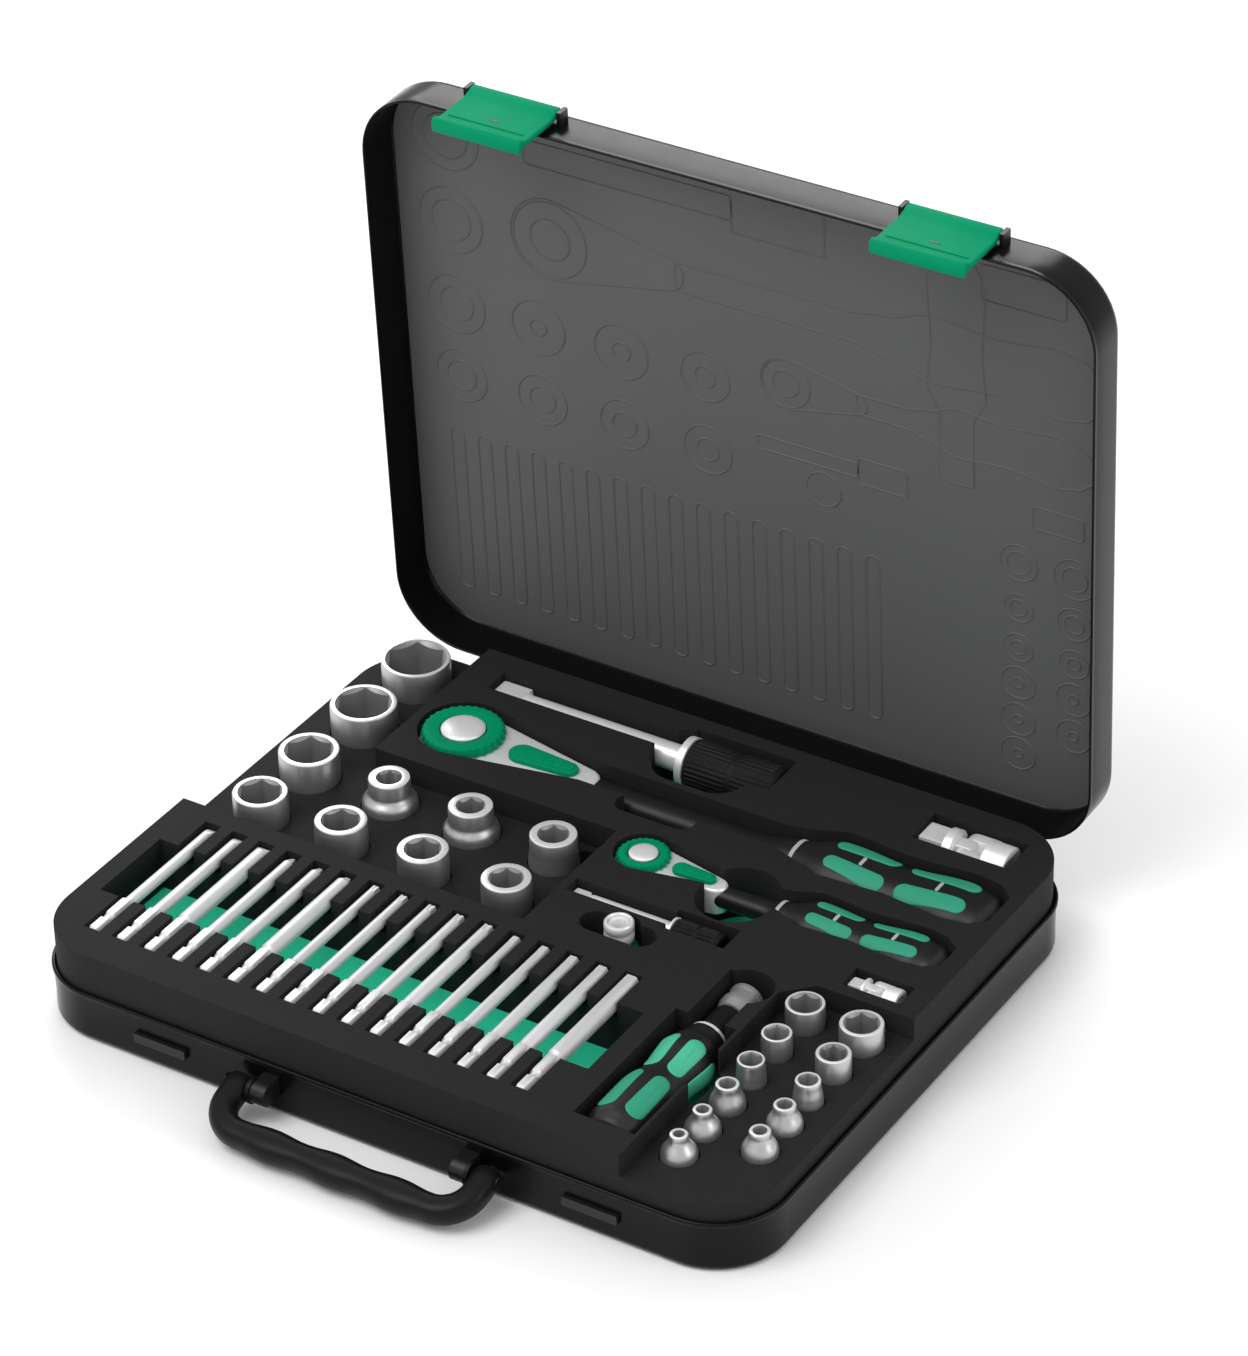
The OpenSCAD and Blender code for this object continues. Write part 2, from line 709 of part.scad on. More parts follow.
// Socket half: two ears on the cross pin and a square socket
module joint_socket(k) {
    tongue = k[5] * 0.7;
    body_x = k[5] * 0.85;
    reach = k[7] - k[6];
    color([0.78, 0.78, 0.8]) translate([k[6], k[1], k[2]]) difference() {
        union() {
            translate([body_x, 0, 0]) rotate([0, 90, 0]) cylinder(r = k[5], h = reach - body_x);
            intersection() {
                union() {
                    rotate([90, 0, 0]) translate([0, 0, -k[5]]) cylinder(r = k[5] * 0.6, h = 2 * k[5]);
                    translate([0, -k[5], -k[5] * 0.6]) cube([body_x + 1, 2 * k[5], k[5] * 1.2]);
                }
                translate([-k[5], 0, 0]) rotate([0, 90, 0]) cylinder(r = k[5], h = 2 * k[5] + 2);
            }
        }
        translate([-k[5], -tongue / 2 - joint_gap, -k[5] - 1])
            cube([k[5] + body_x, tongue + 2 * joint_gap, 2 * k[5] + 2]);
        translate([0, k[5] + 1, 0]) rotate([90, 0, 0])
            cylinder(r = k[5] * 0.28 + running, h = 2 * k[5] + 2);
        translate([reach - k[3] * 0.85, -k[3] / 2 - 0.05, -k[3] / 2 - 0.05])
            cube([k[3], k[3] + 0.1, k[3] + 0.1]);
    }
}

module large_joint_drive() { joint_drive(BIG_JOINT); }
module large_joint_socket() { joint_socket(BIG_JOINT); }
module small_joint_drive() { joint_drive(LITTLE_JOINT); }
module small_joint_socket() { joint_socket(LITTLE_JOINT); }

// ---- Adaptor and bit driver

module hex_hole(z0, z1) {
    translate([0, 0, z0]) cylinder(r = hex_drive / sqrt(3), h = z1 - z0, $fn = 6);
}

module adaptor_body() {
    collar_low = adaptor_top - collar_len - collar_travel;
    color([0.1, 0.45, 0.36]) translate([adaptor_x, adaptor_y, 0]) difference() {
        union() {
            translate([0, 0, adaptor_low]) cylinder(r = adaptor_r, h = collar_low - 0.4 - adaptor_low);
            translate([0, 0, adaptor_low]) cylinder(r = 4.9, h = adaptor_top - 1.2 - adaptor_low);
        }
        hex_hole(adaptor_top - 16, adaptor_top + 1);
        translate([-small_drive / 2, -small_drive / 2, adaptor_low - 1])
            cube([small_drive, small_drive, 10]);
    }
}

module adaptor_collar() {
    color([0.8, 0.8, 0.82]) translate([adaptor_x, adaptor_y, adaptor_top - collar_len])
        difference() {
            cylinder(r = collar_r, h = collar_len);
            translate([0, 0, -1]) cylinder(r = 4.9 + running, h = collar_len + 2);
        }
}

module along_driver(y0) {
    translate([driver_x, y0, driver_z]) rotate([-90, 0, 0]) children();
}

module bit_driver_shank() {
    color([0.7, 0.7, 0.72]) difference() {
        union() {
            along_driver(driver_ring_y - 30) cylinder(r = 3.5, h = driver_tip_y - driver_ring_y + 30);
            along_driver(driver_ring_y + 0.2)
                cylinder(r = driver_shank_r, h = driver_tip_y - driver_ring_y - 12);
            along_driver(driver_tip_y - 11.5) cylinder(r = driver_chuck_r, h = 11.5);
        }
        along_driver(driver_tip_y) hex_hole(-14, 1);
    }
}

// The grip's radius along its length, from its rear end to its front ring
module bit_driver_grip() {
    len = driver_ring_y - driver_end_y;
    r = driver_grip_r;
    color([0.05, 0.05, 0.055]) difference() {
        along_driver(driver_end_y) rotate_extrude() polygon([
            [0, 0], [r - 5, 0], [r - 1.5, 3], [r, 8], [r, 30], [r - 2.2, 46],
            [r - 0.6, 60], [r - 3, 68], [r - 3, len], [0, len]
        ]);
        along_driver(driver_ring_y - 30) cylinder(r = 3.5, h = 31);
    }
}

base_shell();
lid_shell();
lid_panel();
foam_base();
foam_tray();
hinge_base_leaves();
hinge_lid_leaves();
hinge_pins();
latch_left();
latch_right();
latch_pivots();
latch_catches();
handle();
handle_brackets();
for (i = [0:len(LARGE) - 1])
    large_socket(i);
for (i = [0:len(SMALL) - 1])
    small_socket(i);
screwdriver_bits();
star_bits();
hex_bits();
large_ratchet_head();
large_ratchet_handle();
large_ratchet_drive();
large_ratchet_ring();
large_ratchet_button();
large_ratchet_lever();
small_ratchet_head();
small_ratchet_handle();
small_ratchet_drive();
small_ratchet_ring();
small_ratchet_button();
small_ratchet_lever();
long_extension();
short_extension();
large_joint_drive();
large_joint_socket();
small_joint_drive();
small_joint_socket();
adaptor_body();
adaptor_collar();
bit_driver_shank();
bit_driver_grip();
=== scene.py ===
# Socket wrench set in an open case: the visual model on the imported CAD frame.
# Lengths are in millimetres in the builders below and are scaled to metres when a mesh is made.
import math

import bmesh
import bpy
from mathutils import Matrix, Vector


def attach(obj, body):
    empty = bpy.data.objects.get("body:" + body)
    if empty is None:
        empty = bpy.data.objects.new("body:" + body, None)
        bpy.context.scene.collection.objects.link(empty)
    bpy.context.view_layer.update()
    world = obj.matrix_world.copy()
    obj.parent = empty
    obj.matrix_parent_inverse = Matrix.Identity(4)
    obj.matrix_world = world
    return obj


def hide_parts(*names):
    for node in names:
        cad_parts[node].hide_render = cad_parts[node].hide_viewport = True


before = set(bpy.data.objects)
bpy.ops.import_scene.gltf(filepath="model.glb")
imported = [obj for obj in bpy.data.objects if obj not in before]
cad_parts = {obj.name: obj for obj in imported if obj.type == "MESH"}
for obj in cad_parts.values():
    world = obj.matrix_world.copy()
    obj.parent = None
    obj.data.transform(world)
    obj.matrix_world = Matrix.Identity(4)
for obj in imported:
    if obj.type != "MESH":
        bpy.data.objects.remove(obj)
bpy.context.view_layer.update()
MM = 0.001


# ---- Measures shared with the CAD model ----

CASE_W, CASE_D, LID_TOP, CORNER = 355.0, 285.0, 48.8, 33.0
HINGE_Y, HINGE_Z, LID_ANGLE = 148.0, 27.4, math.radians(87.5)
ON_LID = (Matrix.Translation((0, HINGE_Y, HINGE_Z)) @ Matrix.Rotation(-LID_ANGLE, 4, "X")
          @ Matrix.Translation((0, -HINGE_Y, -HINGE_Z)))
LARGE = [("24", 24, -148, 114.8, 31.5, 31.5), ("22", 22, -148, 72.9, 30.2, 30.2),
         ("19", 19, -148, 30.3, 27.2, 27.2), ("17", 17, -148, -7, 24.4, 24.4),
         ("15", 15, -105.6, -7, 23.2, 23.2), ("14", 14, -63.2, -7, 22.6, 22.6),
         ("13", 13, -20.8, -7, 22, 22), ("12", 12, -20.8, 30.3, 21, 22.4),
         ("11", 11, -63.2, 30.3, 19.9, 25), ("10", 10, -105.6, 30.3, 18.7, 25)]
SMALL = [("13", 13, 158, -17, 18.8, 18.8), ("12", 12, 131.4, -17, 16.8, 16.8),
         ("10", 10, 158, -40, 15, 15), ("9", 9, 131.4, -40, 13, 13),
         ("8", 8, 131.4, -60.5, 11.6, 13), ("7", 7, 158, -60.5, 10.8, 13),
         ("6", 6, 131.4, -79, 10, 15.4), ("5_half", 5.5, 158, -79, 9.4, 15.4),
         ("5", 5, 158, -98.3, 9, 15.4), ("4_half", 4.5, 131.4, -98.3, 8.2, 15.4),
         ("4", 4, 131.4, -116.4, 7.8, 15.4)]
BIT_R = [2.6, 2.8, 3.7, 2.7, 2.9, 3.7, 2.4, 2.6, 2.8, 3.0, 3.2, 2.5, 2.7, 3.0, 3.3, 3.9]
BIT_X, BIT_PITCH, BIT_Y, BIT_LEN, BIT_Z = -152.5, 14.2, -122.4, 86.0, 40.4
GRIP_POWER = 2.5
TAU = 2 * math.pi


# ---- Materials ----

def look(name, color, rough, metal=0.0, spec=0.5, grain=0.0, grain_scale=900.0, tone=0.0,
         tone_scale=60.0, streak=None, smudge=0.06):
    """A procedural finish: colour that drifts a little, roughness with handling marks, and a fine bump."""
    m = bpy.data.materials.new(name)
    m.use_nodes = True
    n, links = m.node_tree.nodes, m.node_tree.links
    shader = n["Principled BSDF"]
    shader.inputs["Metallic"].default_value = metal
    shader.inputs["Specular IOR Level"].default_value = spec
    place = n.new("ShaderNodeTexCoord")
    scale = n.new("ShaderNodeMapping")
    scale.inputs["Scale"].default_value = streak or (1, 1, 1)
    links.new(place.outputs["Object"], scale.inputs["Vector"])

    def noise(size, detail):
        t = n.new("ShaderNodeTexNoise")
        t.inputs["Scale"].default_value = size
        t.inputs["Detail"].default_value = detail
        links.new(scale.outputs["Vector"], t.inputs["Vector"])
        return t.outputs["Fac"]

    drift = n.new("ShaderNodeMix")
    drift.data_type = "RGBA"
    dark = [c * (1 - tone) for c in color] + [1]
    light = [min(1, c * (1 + tone)) for c in color] + [1]
    drift.inputs["A"].default_value = dark
    drift.inputs["B"].default_value = light
    links.new(noise(tone_scale, 4), drift.inputs["Factor"])
    links.new(drift.outputs["Result"], shader.inputs["Base Color"])

    marks = n.new("ShaderNodeMapRange")
    marks.inputs["To Min"].default_value = max(0.02, rough - smudge)
    marks.inputs["To Max"].default_value = min(1.0, rough + smudge)
    links.new(noise(tone_scale * 1.7, 6), marks.inputs["Value"])
    links.new(marks.outputs["Result"], shader.inputs["Roughness"])
    if grain:
        bump = n.new("ShaderNodeBump")
        bump.inputs["Strength"].default_value = grain
        bump.inputs["Distance"].default_value = 0.0002
        links.new(noise(grain_scale, 3), bump.inputs["Height"])
        links.new(bump.outputs["Normal"], shader.inputs["Normal"])
    return m


CASE_BLACK = look("case_black", (0.003, 0.003, 0.0032), 0.22, spec=0.15, grain=0.05, grain_scale=700,
                  tone=0.15)
HARDWARE_BLACK = look("hardware_black", (0.006, 0.006, 0.0065), 0.42, spec=0.4, grain=0.1, tone=0.15)
HANDLE_BLACK = look("handle_black", (0.0055, 0.0055, 0.006), 0.38, spec=0.16, grain=0.12, grain_scale=1600,
                    tone=0.15)
GRIP_BLACK = look("grip_black", (0.008, 0.008, 0.0085), 0.45, spec=0.4, grain=0.2, grain_scale=1500,
                  tone=0.2)
SHANK_BLACK = look("shank_black", (0.006, 0.006, 0.0065), 0.62, spec=0.22, grain=0.1, tone=0.2)
FOAM_BLACK = look("foam_black", (0.0115, 0.0115, 0.012), 0.82, spec=0.25, grain=0.45, grain_scale=1300,
                  tone=0.25, tone_scale=500)
FOAM_GREEN = look("foam_green", (0.03, 0.72, 0.42), 0.75, spec=0.25, grain=0.45, grain_scale=1300,
                  tone=0.08, tone_scale=500)
PANEL_GREY = look("panel_grey", (0.092, 0.094, 0.0935), 0.6, spec=0.3, grain=0.12, grain_scale=1100,
                  tone=0.03, tone_scale=20)
GREEN = look("green_plastic", (0.0, 0.25, 0.115), 0.6, spec=0.05, grain=0.06, tone=0.06)
INLAY = look("inlay_green", (0.03, 0.31, 0.19), 0.55, spec=0.25, grain=0.12, grain_scale=1500, tone=0.06)
# A lighter copy of the inlay green: a painted highlight on the bit driver's lozenges nearest the shank.
INLAY_HIGHLIGHT = look("inlay_green_painted_highlight", (0.06, 0.47, 0.29), 0.5, spec=0.35, grain=0.12, grain_scale=1500,
                  tone=0.06)
# Pale grey for the small marks on the ratchet grips. On the band at each grip's front it is a painted
# highlight.
MARK_AND_GLINT = look("pale_mark_and_painted_glint", (0.42, 0.44, 0.43), 0.5, tone=0.1)
SATIN = look("satin_steel", (0.56, 0.56, 0.57), 0.36, metal=0.9, grain=0.12, grain_scale=400, tone=0.06,
             streak=(1, 1, 9))
RIM_STEEL = look("bright_rim", (0.9, 0.9, 0.91), 0.28, metal=0.45, tone=0.04)
CHROME = look("satin_chrome", (0.9, 0.9, 0.91), 0.34, metal=0.42, grain=0.05, grain_scale=500, tone=0.04)
BIT_STEEL = look("bit_steel", (0.7, 0.7, 0.71), 0.46, metal=0.4, grain=0.12, grain_scale=300, tone=0.08,
                 streak=(9, 1, 9))
# Dark steel for the hinge pins and the bit driver's chuck. Inside the sockets' hex bores it is painted
# shade.
DARK_STEEL_AND_BORE_SHADE = look("dark_steel_and_painted_bore_shade", (0.3, 0.3, 0.305), 0.42, metal=0.45, tone=0.1)


# ---- Mesh builders ----

def emit(name, bm, material, body, nodes=(), turn=None, sharp=35, extra=()):
    if turn is not None:
        bmesh.ops.transform(bm, matrix=turn, verts=bm.verts)
    bmesh.ops.scale(bm, vec=(MM, MM, MM), verts=bm.verts)
    bmesh.ops.recalc_face_normals(bm, faces=bm.faces)
    for f in bm.faces:
        f.smooth = True
    for e in bm.edges:
        if len(e.link_faces) == 2:
            e.smooth = e.calc_face_angle() < math.radians(sharp)
    mesh = bpy.data.meshes.new(name)
    bm.to_mesh(mesh)
    bm.free()
    piece = bpy.data.objects.new(name, mesh)
    bpy.context.scene.collection.objects.link(piece)
    mesh.materials.append(material)
    for other in extra:
        mesh.materials.append(other)
    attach(piece, body)
    if nodes:
        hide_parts(*nodes)
    return piece


def skin(bm, rings, wrap=False, caps=(True, True), index=0):
    """Quads between rings of equal length, with a face over each open end."""
    rows = [[bm.verts.new(p) for p in ring] for ring in rings]
    count = len(rows[0])
    pairs = list(zip(rows, rows[1:])) + ([(rows[-1], rows[0])] if wrap else [])
    for a, b in pairs:
        for i in range(count):
            j = (i + 1) % count
            bm.faces.new((a[i], a[j], b[j], b[i])).material_index = index
    if not wrap:
        if caps[0]:
            bm.faces.new(list(reversed(rows[0]))).material_index = index
        if caps[1]:
            bm.faces.new(rows[-1]).material_index = index
    return rows


def circle(r, z, count=48, x=0.0, y=0.0):
    return [(x + r * math.cos(TAU * i / count), y + r * math.sin(TAU * i / count), z) for i in range(count)]


def polygon_ring(sides, flat, z, count=48, phase=0.0):
    """A regular polygon with its corners on ring points; flat is the distance from its centre to a side."""
    step = TAU / sides
    ring = []
    for i in range(count):
        a = TAU * i / count
        off = (a - phase + step / 2) % step - step / 2
        r = flat / math.cos(step / 2 - abs(off))
        ring.append((r * math.cos(a), r * math.sin(a), z))
    return ring


def lathe(bm, profile, count=48):
    """profile is [(radius, z), ...]."""
    return skin(bm, [circle(r, z, count) for r, z in profile])


def inset(outline, d):
    """The outline moved inwards by d along its own normals. It runs counter-clockwise."""
    points, count = [], len(outline)
    for i in range(count):
        a, b, c = Vector(outline[i - 1]), Vector(outline[i]), Vector(outline[(i + 1) % count])
        e0, e1 = (b - a).normalized(), (c - b).normalized()
        n0, n1 = Vector((-e0.y, e0.x)), Vector((-e1.y, e1.x))
        n = n0 + n1
        n = n / max(0.3, n.length_squared / 2)
        points.append((b.x + n.x * d, b.y + n.y * d))
    return points


def prism(bm, outline, z0, z1, edge=0.6, low_edge=None, steps=3):
    """A slab with rounded edges, edge millimetres above and low_edge below."""
    low = edge if low_edge is None else low_edge
    low_rings = [[(x, y, z0 + low * (1 - math.cos(a))) for x, y in inset(outline, low * (1 - math.sin(a)))]
                 for a in [i / steps * math.pi / 2 for i in range(steps + 1)]] if low else [
                     [(x, y, z0) for x, y in outline]]
    high_rings = [[(x, y, z1 - edge * (1 - math.cos(a))) for x,
                   y in inset(outline, edge * (1 - math.sin(a)))]
                  for a in [i / steps * math.pi / 2 for i in range(steps, -1, -1)]]
    return skin(bm, low_rings + high_rings)


def slot_outline(x0, x1, r0, r1, count=20):
    """Two circles on the x axis joined by the lines that touch both, counter-clockwise."""
    a = math.acos((r0 - r1) / (x1 - x0))
    big = [(x0 + r0 * math.cos(t), r0 * math.sin(t))
           for t in [a + i / count * (TAU - 2 * a) for i in range(count + 1)]]
    end = [(x1 + r1 * math.cos(t), r1 * math.sin(t))
           for t in [-a + i / count * 2 * a for i in range(count + 1)]]
    return big + end


def rect_outline(w, d, r, count=10):
    """A rounded rectangle, counter-clockwise."""
    points = []
    for k, (sx, sy) in enumerate(((1, 1), (-1, 1), (-1, -1), (1, -1))):
        cx, cy = sx * (w / 2 - r), sy * (d / 2 - r)
        for i in range(count + 1):
            a = k * math.pi / 2 + i / count * math.pi / 2
            points.append((cx + r * math.cos(a), cy + r * math.sin(a)))
    return points


def table_value(table, x):
    """Smooth interpolation through [(x, value), ...]."""
    if x <= table[0][0]:
        return table[0][1]
    for (xa, a), (xb, b) in zip(table, table[1:]):
        if x <= xb:
            t = (x - xa) / (xb - xa)
            return a + (b - a) * (t * t * (3 - 2 * t))
    return table[-1][1]


def moved(x=0.0, y=0.0, z=0.0):
    return Matrix.Translation((x, y, z))


ALONG_X = Matrix.Rotation(math.pi / 2, 4, "Y")
ALONG_Y = Matrix.Rotation(-math.pi / 2, 4, "X")


def join(bm, part, place):
    """Adds a separately built bmesh to bm, moved to its place."""
    bmesh.ops.transform(part, matrix=place, verts=part.verts)
    data = bpy.data.meshes.new("joined")
    part.to_mesh(data)
    part.free()
    bm.from_mesh(data)
    bpy.data.meshes.remove(data)


def dress(node, material, bevel=0.0):
    """A CAD node that keeps its shape: a finish, and edges broken by a small bevel."""
    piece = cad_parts[node]
    piece.data.materials.clear()
    piece.data.materials.append(material)
    if bevel:
        b = piece.modifiers.new("edges", "BEVEL")
        b.width = bevel * MM
        b.segments = 2
        b.limit_method = "ANGLE"
        b.angle_limit = math.radians(40)
        b.harden_normals = False
    return piece


# ---- Case ----

def shell(name, profile, material, body, nodes, turn=None):
    """A tray: profile is [(inset from the case's outline, z), ...], from outside middle to inside middle."""
    bm = bmesh.new()
    rings = [[(x, y, z) for x, y in rect_outline(CASE_W - 2 * d, CASE_D - 2 * d, max(2, CORNER - d), 14)]
             for d, z in profile]
    skin(bm, rings)
    return emit(name, bm, material, body, nodes, turn, sharp=50)


def arc(cx, cz, r, a0, a1, count=6):
    return [(cx + r * math.cos(math.radians(a0 + (a1 - a0) * i / count)),
             cz + r * math.sin(math.radians(a0 + (a1 - a0) * i / count))) for i in range(count + 1)]


base_profile = ([(30, 0.35), (12, 0.0)] + arc(4.3, 3.5, 3.5, -90, -180, 8)[1:]
                + [(1.0, 10), (0.8, 21.6), (0.75, 22.4), (0.3, 22.7), (0.05, 23.1), (0.0, 23.6),
                   (0.0, 24.3), (0.2, 24.75), (0.6, 25.0), (1.3, 25.0), (1.75, 24.7), (2.0, 24.2),
                   (2.0, 1.3), (30, 1.25)])
base_profile = [(max(d, 0.0), max(z, 0.0)) for d, z in base_profile]
shell("case_base", base_profile, CASE_BLACK, "case", ["base_shell"])

lid_profile = ([(30, LID_TOP - 0.3), (12, LID_TOP)] + arc(5.5, LID_TOP - 5.5, 5.5, 90, 180, 8)[1:]
               + [(0.0, 34), (0.0, 27.6), (0.15, 26.6), (0.0, 26.2), (0.0, 25.7), (0.25, 25.35),
                  (0.7, 25.3), (1.1, 25.6), (1.2, 26.2), (1.2, 44), (2.2, 46.9), (4.0, 47.6), (30, 47.6)])
shell("case_lid", lid_profile, CASE_BLACK, "lid", ["lid_shell"], ON_LID)

dress("lid_panel", PANEL_GREY)
dress("foam_tray", FOAM_BLACK, 0.7)
dress("foam_base", FOAM_GREEN, 0.4)
for node in ("hinge_base_leaves", "hinge_lid_leaves", "latch_pivots", "latch_catches", "handle_brackets"):
    dress(node, HARDWARE_BLACK, 0.35)
dress("hinge_pins", DARK_STEEL_AND_BORE_SHADE)


# ---- Lid lining: outlines of the tools pressed into the sheet ----

def lining_outlines():
    bm = bmesh.new()

    def bead(points, z=46.62, half=0.5, high=0.42):
        """A low ridge along a closed line."""
        count = len(points)
        left, mid, right = inset(points, half), points, inset(points, -half)
        rows = []
        for line, drop in ((left, 0.0), (mid, high), (right, 0.0)):
            rows.append([bm.verts.new((x, y, z - drop)) for x, y in line])
        for a, b in zip(rows, rows[1:]):
            for i in range(count):
                j = (i + 1) % count
                bm.faces.new((a[i], a[j], b[j], b[i]))

    def ring(x, y, r, count=40):
        bead([(x + r * math.cos(TAU * i / count), -y + r * math.sin(TAU * i / count))
              for i in range(count)])

    def block(x0, x1, y0, y1, r=2.0):
        bead([(x + (x0 + x1) / 2, y - (y0 + y1) / 2) for x, y in rect_outline(x1 - x0, y1 - y0, r, 5)])

    def shape(points, y):
        bead([(px, py - y) for px, py in points])

    for _, af, x, y, _, od in LARGE:
        ring(x, y, od / 2 + 1)
        ring(x, y, af / 2 - 1)
    for _, af, x, y, _, od in SMALL:
        ring(x, y, od / 2 + 0.5)
        ring(x, y, max(2.2, af / 2 - 0.5), 24)
    for i in range(16):
        x = BIT_X + i * BIT_PITCH
        block(x - 3.4, x + 3.4, BIT_Y, BIT_Y + BIT_LEN, 3.2)
    for x, y, r0, x1, r1, grip in ((-97, 77, 20, -38, 8, BIG_WIDTH),
                                   (19.5, 39, 12.6, 54, 5.2, SMALL_WIDTH)):
        ring(x, y, r0 * 0.93)
        ring(x, y, r0 * 0.5)
        shape(slot_outline(x, x1, r0, r1), y)
        xs = [grip[0][0] + (grip[-1][0] - grip[0][0]) * i / 40 for i in range(41)]
        shape([(x, -table_value(grip, x)) for x in xs] + [(x, table_value(grip, x)) for x in reversed(xs)],
              y)
    block(-108, -5, 112, 124)
    block(-5, 40, 106.5, 129.5)
    block(114, 153, 108, 125)
    block(4.5, 54, 2, 9, 1.5)
    block(54, 78, -1, 12)
    block(138, 162, 3, 14)
    ring(37, -9.5, 8.5)
    shape([(102 + r, y) for r, y in ((8, -14), (8, -47), (14, -58), (12, -80), (14, -112), (8, -125))][::-1]
          + [(102 - r, y) for r, y in ((8, -14), (8, -47), (14, -58), (12, -80), (14, -112), (8, -125))], 0)
    return bm


BIG_WIDTH = [(-34, 7.0), (50, 7.2), (68, 9.5), (90, 16.2), (121, 13.6), (150, 16.6), (162, 14.5), (168, 9)]
BIG_HEIGHT = [(-34, 6.5), (52, 6.6), (70, 9.5), (90, 12.8), (121, 11.6), (150, 13.0), (162, 11.5), (168, 7)]
SMALL_WIDTH = [(54, 4.8), (78, 5.0), (88, 7.2), (102, 11.9), (126, 10.1), (150, 12.4), (160, 10.6),
               (166, 6)]
SMALL_HEIGHT = [(54, 4.4), (80, 4.6), (90, 6.8), (102, 9.8), (126, 8.8), (150, 10.2), (160, 8.6), (166, 5)]
emit("lid_outlines", lining_outlines(), PANEL_GREY, "lid", turn=ON_LID, sharp=60)


# ---- Latches ----

def latch(side, x):
    """A sprung plate with a hooked lip, closed against the lid's front wall."""
    bm = bmesh.new()
    y_in, y_out = -143.85, -146.6
    plate = [(y_in, 12.0), (y_in, 34.5), (-144.6, 37.6), (-144.2, 40.4), (-145.4, 41.7), (-147.2, 41.9),
             (-148.6, 40.6), (-148.7, 38.4), (-147.6, 35.6), (y_out, 32.0), (y_out - 0.25, 22.0),
             (y_out - 0.1, 14.5), (-147.6, 11.8), (-148.6, 10.2), (-148.4, 8.4), (-147.0, 7.5),
             (-143.4, 7.5), (-142.3, 7.9), (-142.3, 9.8), (-142.7, 10.1), (-143.6, 10.1), (-143.85, 10.3)]
    half = 22.0
    stations = [(-half, 0.7), (-half + 0.25, 0.3), (-half + 0.8, 0.0), (half - 0.8, 0.0),
                (half - 0.25, 0.3), (half, 0.7)]
    rings = [[(x + sx, y, z) for y, z in inset(plate, d)] for sx, d in stations]
    skin(bm, rings)

    ridge = bmesh.new()
    prism(ridge, rect_outline(38.0, 1.3, 0.6, 4), 0.0, 1.0, edge=0.4, low_edge=0.05)
    join(bm, ridge, Matrix.Translation((x, y_out + 0.4, 16.5)) @ Matrix.Rotation(math.pi / 2, 4, "X"))
    emit("latch_%s_plate" % side, bm, GREEN, "latch_" + side, ["latch_" + side], ON_LID,
         sharp=50)
    mark = bmesh.new()
    prism(mark, rect_outline(5.5, 1.1, 0.5, 4), -0.3, 0.12, edge=0.05, low_edge=0.05)
    place = Matrix.Translation((x + 1.5, y_out - 0.2, 20.5)) @ Matrix.Rotation(math.pi / 2, 4, "X")
    emit("latch_%s_mark" % side, mark, HARDWARE_BLACK, "latch_" + side,
         turn=ON_LID @ place)


latch("left", -105.5)
latch("right", 105.5)


# ---- Carrying handle ----

def handle():
    """A bar of oval section along a U, with finger waves in its grip. Local -Y runs from pivots to grip."""
    half, reach, bend = 60.5, 22.0, 14.0
    path = [(-half, 3.4), (-half, 0.0), (-half, -3.0)]
    path += [(-half + bend - bend * math.cos(a), -reach + bend - bend * math.sin(a))
             for a in [i / 10 * math.pi / 2 for i in range(11)]]
    path += [(x, -reach) for x in [-half + bend + (2 * half - 2 * bend) * i / 48 for i in range(1, 48)]]
    path += [(half - bend + bend * math.sin(a), -reach + bend - bend * math.cos(a))
             for a in [i / 10 * math.pi / 2 for i in range(11)]]
    path += [(half, -3.0), (half, 0.0), (half, 3.4)]
    rings = []
    for i, (px, py) in enumerate(path):
        a, b = Vector(path[max(0, i - 1)]), Vector(path[min(len(path) - 1, i + 1)])
        along = (b - a).normalized()
        side = Vector((-along.y, along.x))
        wave = 0.0
        if abs(px) < 46 and py < -reach + 0.5:
            wave = 0.5 - 0.5 * math.cos(TAU * (px + 46) / 30.67)
            wave *= min(1, (46 - abs(px)) / 6)
        w = 6.0 + 1.25 * wave
        h = 5.6 + 0.3 * wave
        if i < 2 or i > len(path) - 3:
            w, h = 6.2, 5.7
        if i in (0, len(path) - 1):
            w, h = 5.0, 4.6
        ring = []
        for k in range(28):
            t = TAU * k / 28
            c, s = math.cos(t), math.sin(t)
            u = w * math.copysign(abs(c) ** 0.8, c)
            v = h * math.copysign(abs(s) ** 0.8, s)
            centre = Vector((px, py)) + side * u
            ring.append((centre.x, centre.y, v))
        rings.append(ring)
    bm = bmesh.new()
    skin(bm, rings)
    for s in (-1, 1):
        for x0, x1, r in ((52.6, 54.4, 5.9), (66.3, 67.0, 3.4)):
            part = [[(s * x, r * math.cos(TAU * i / 32), r * math.sin(TAU * i / 32)) for i in range(32)]
                    for x in (x0, x1)]
            skin(bm, part)
    drop = moved(0, -149, 14.5) @ Matrix.Rotation(math.radians(15), 4, "X")
    emit("carrying_handle", bm, HANDLE_BLACK, "handle", ["handle"], drop, sharp=50)


handle()


# ---- Sockets ----

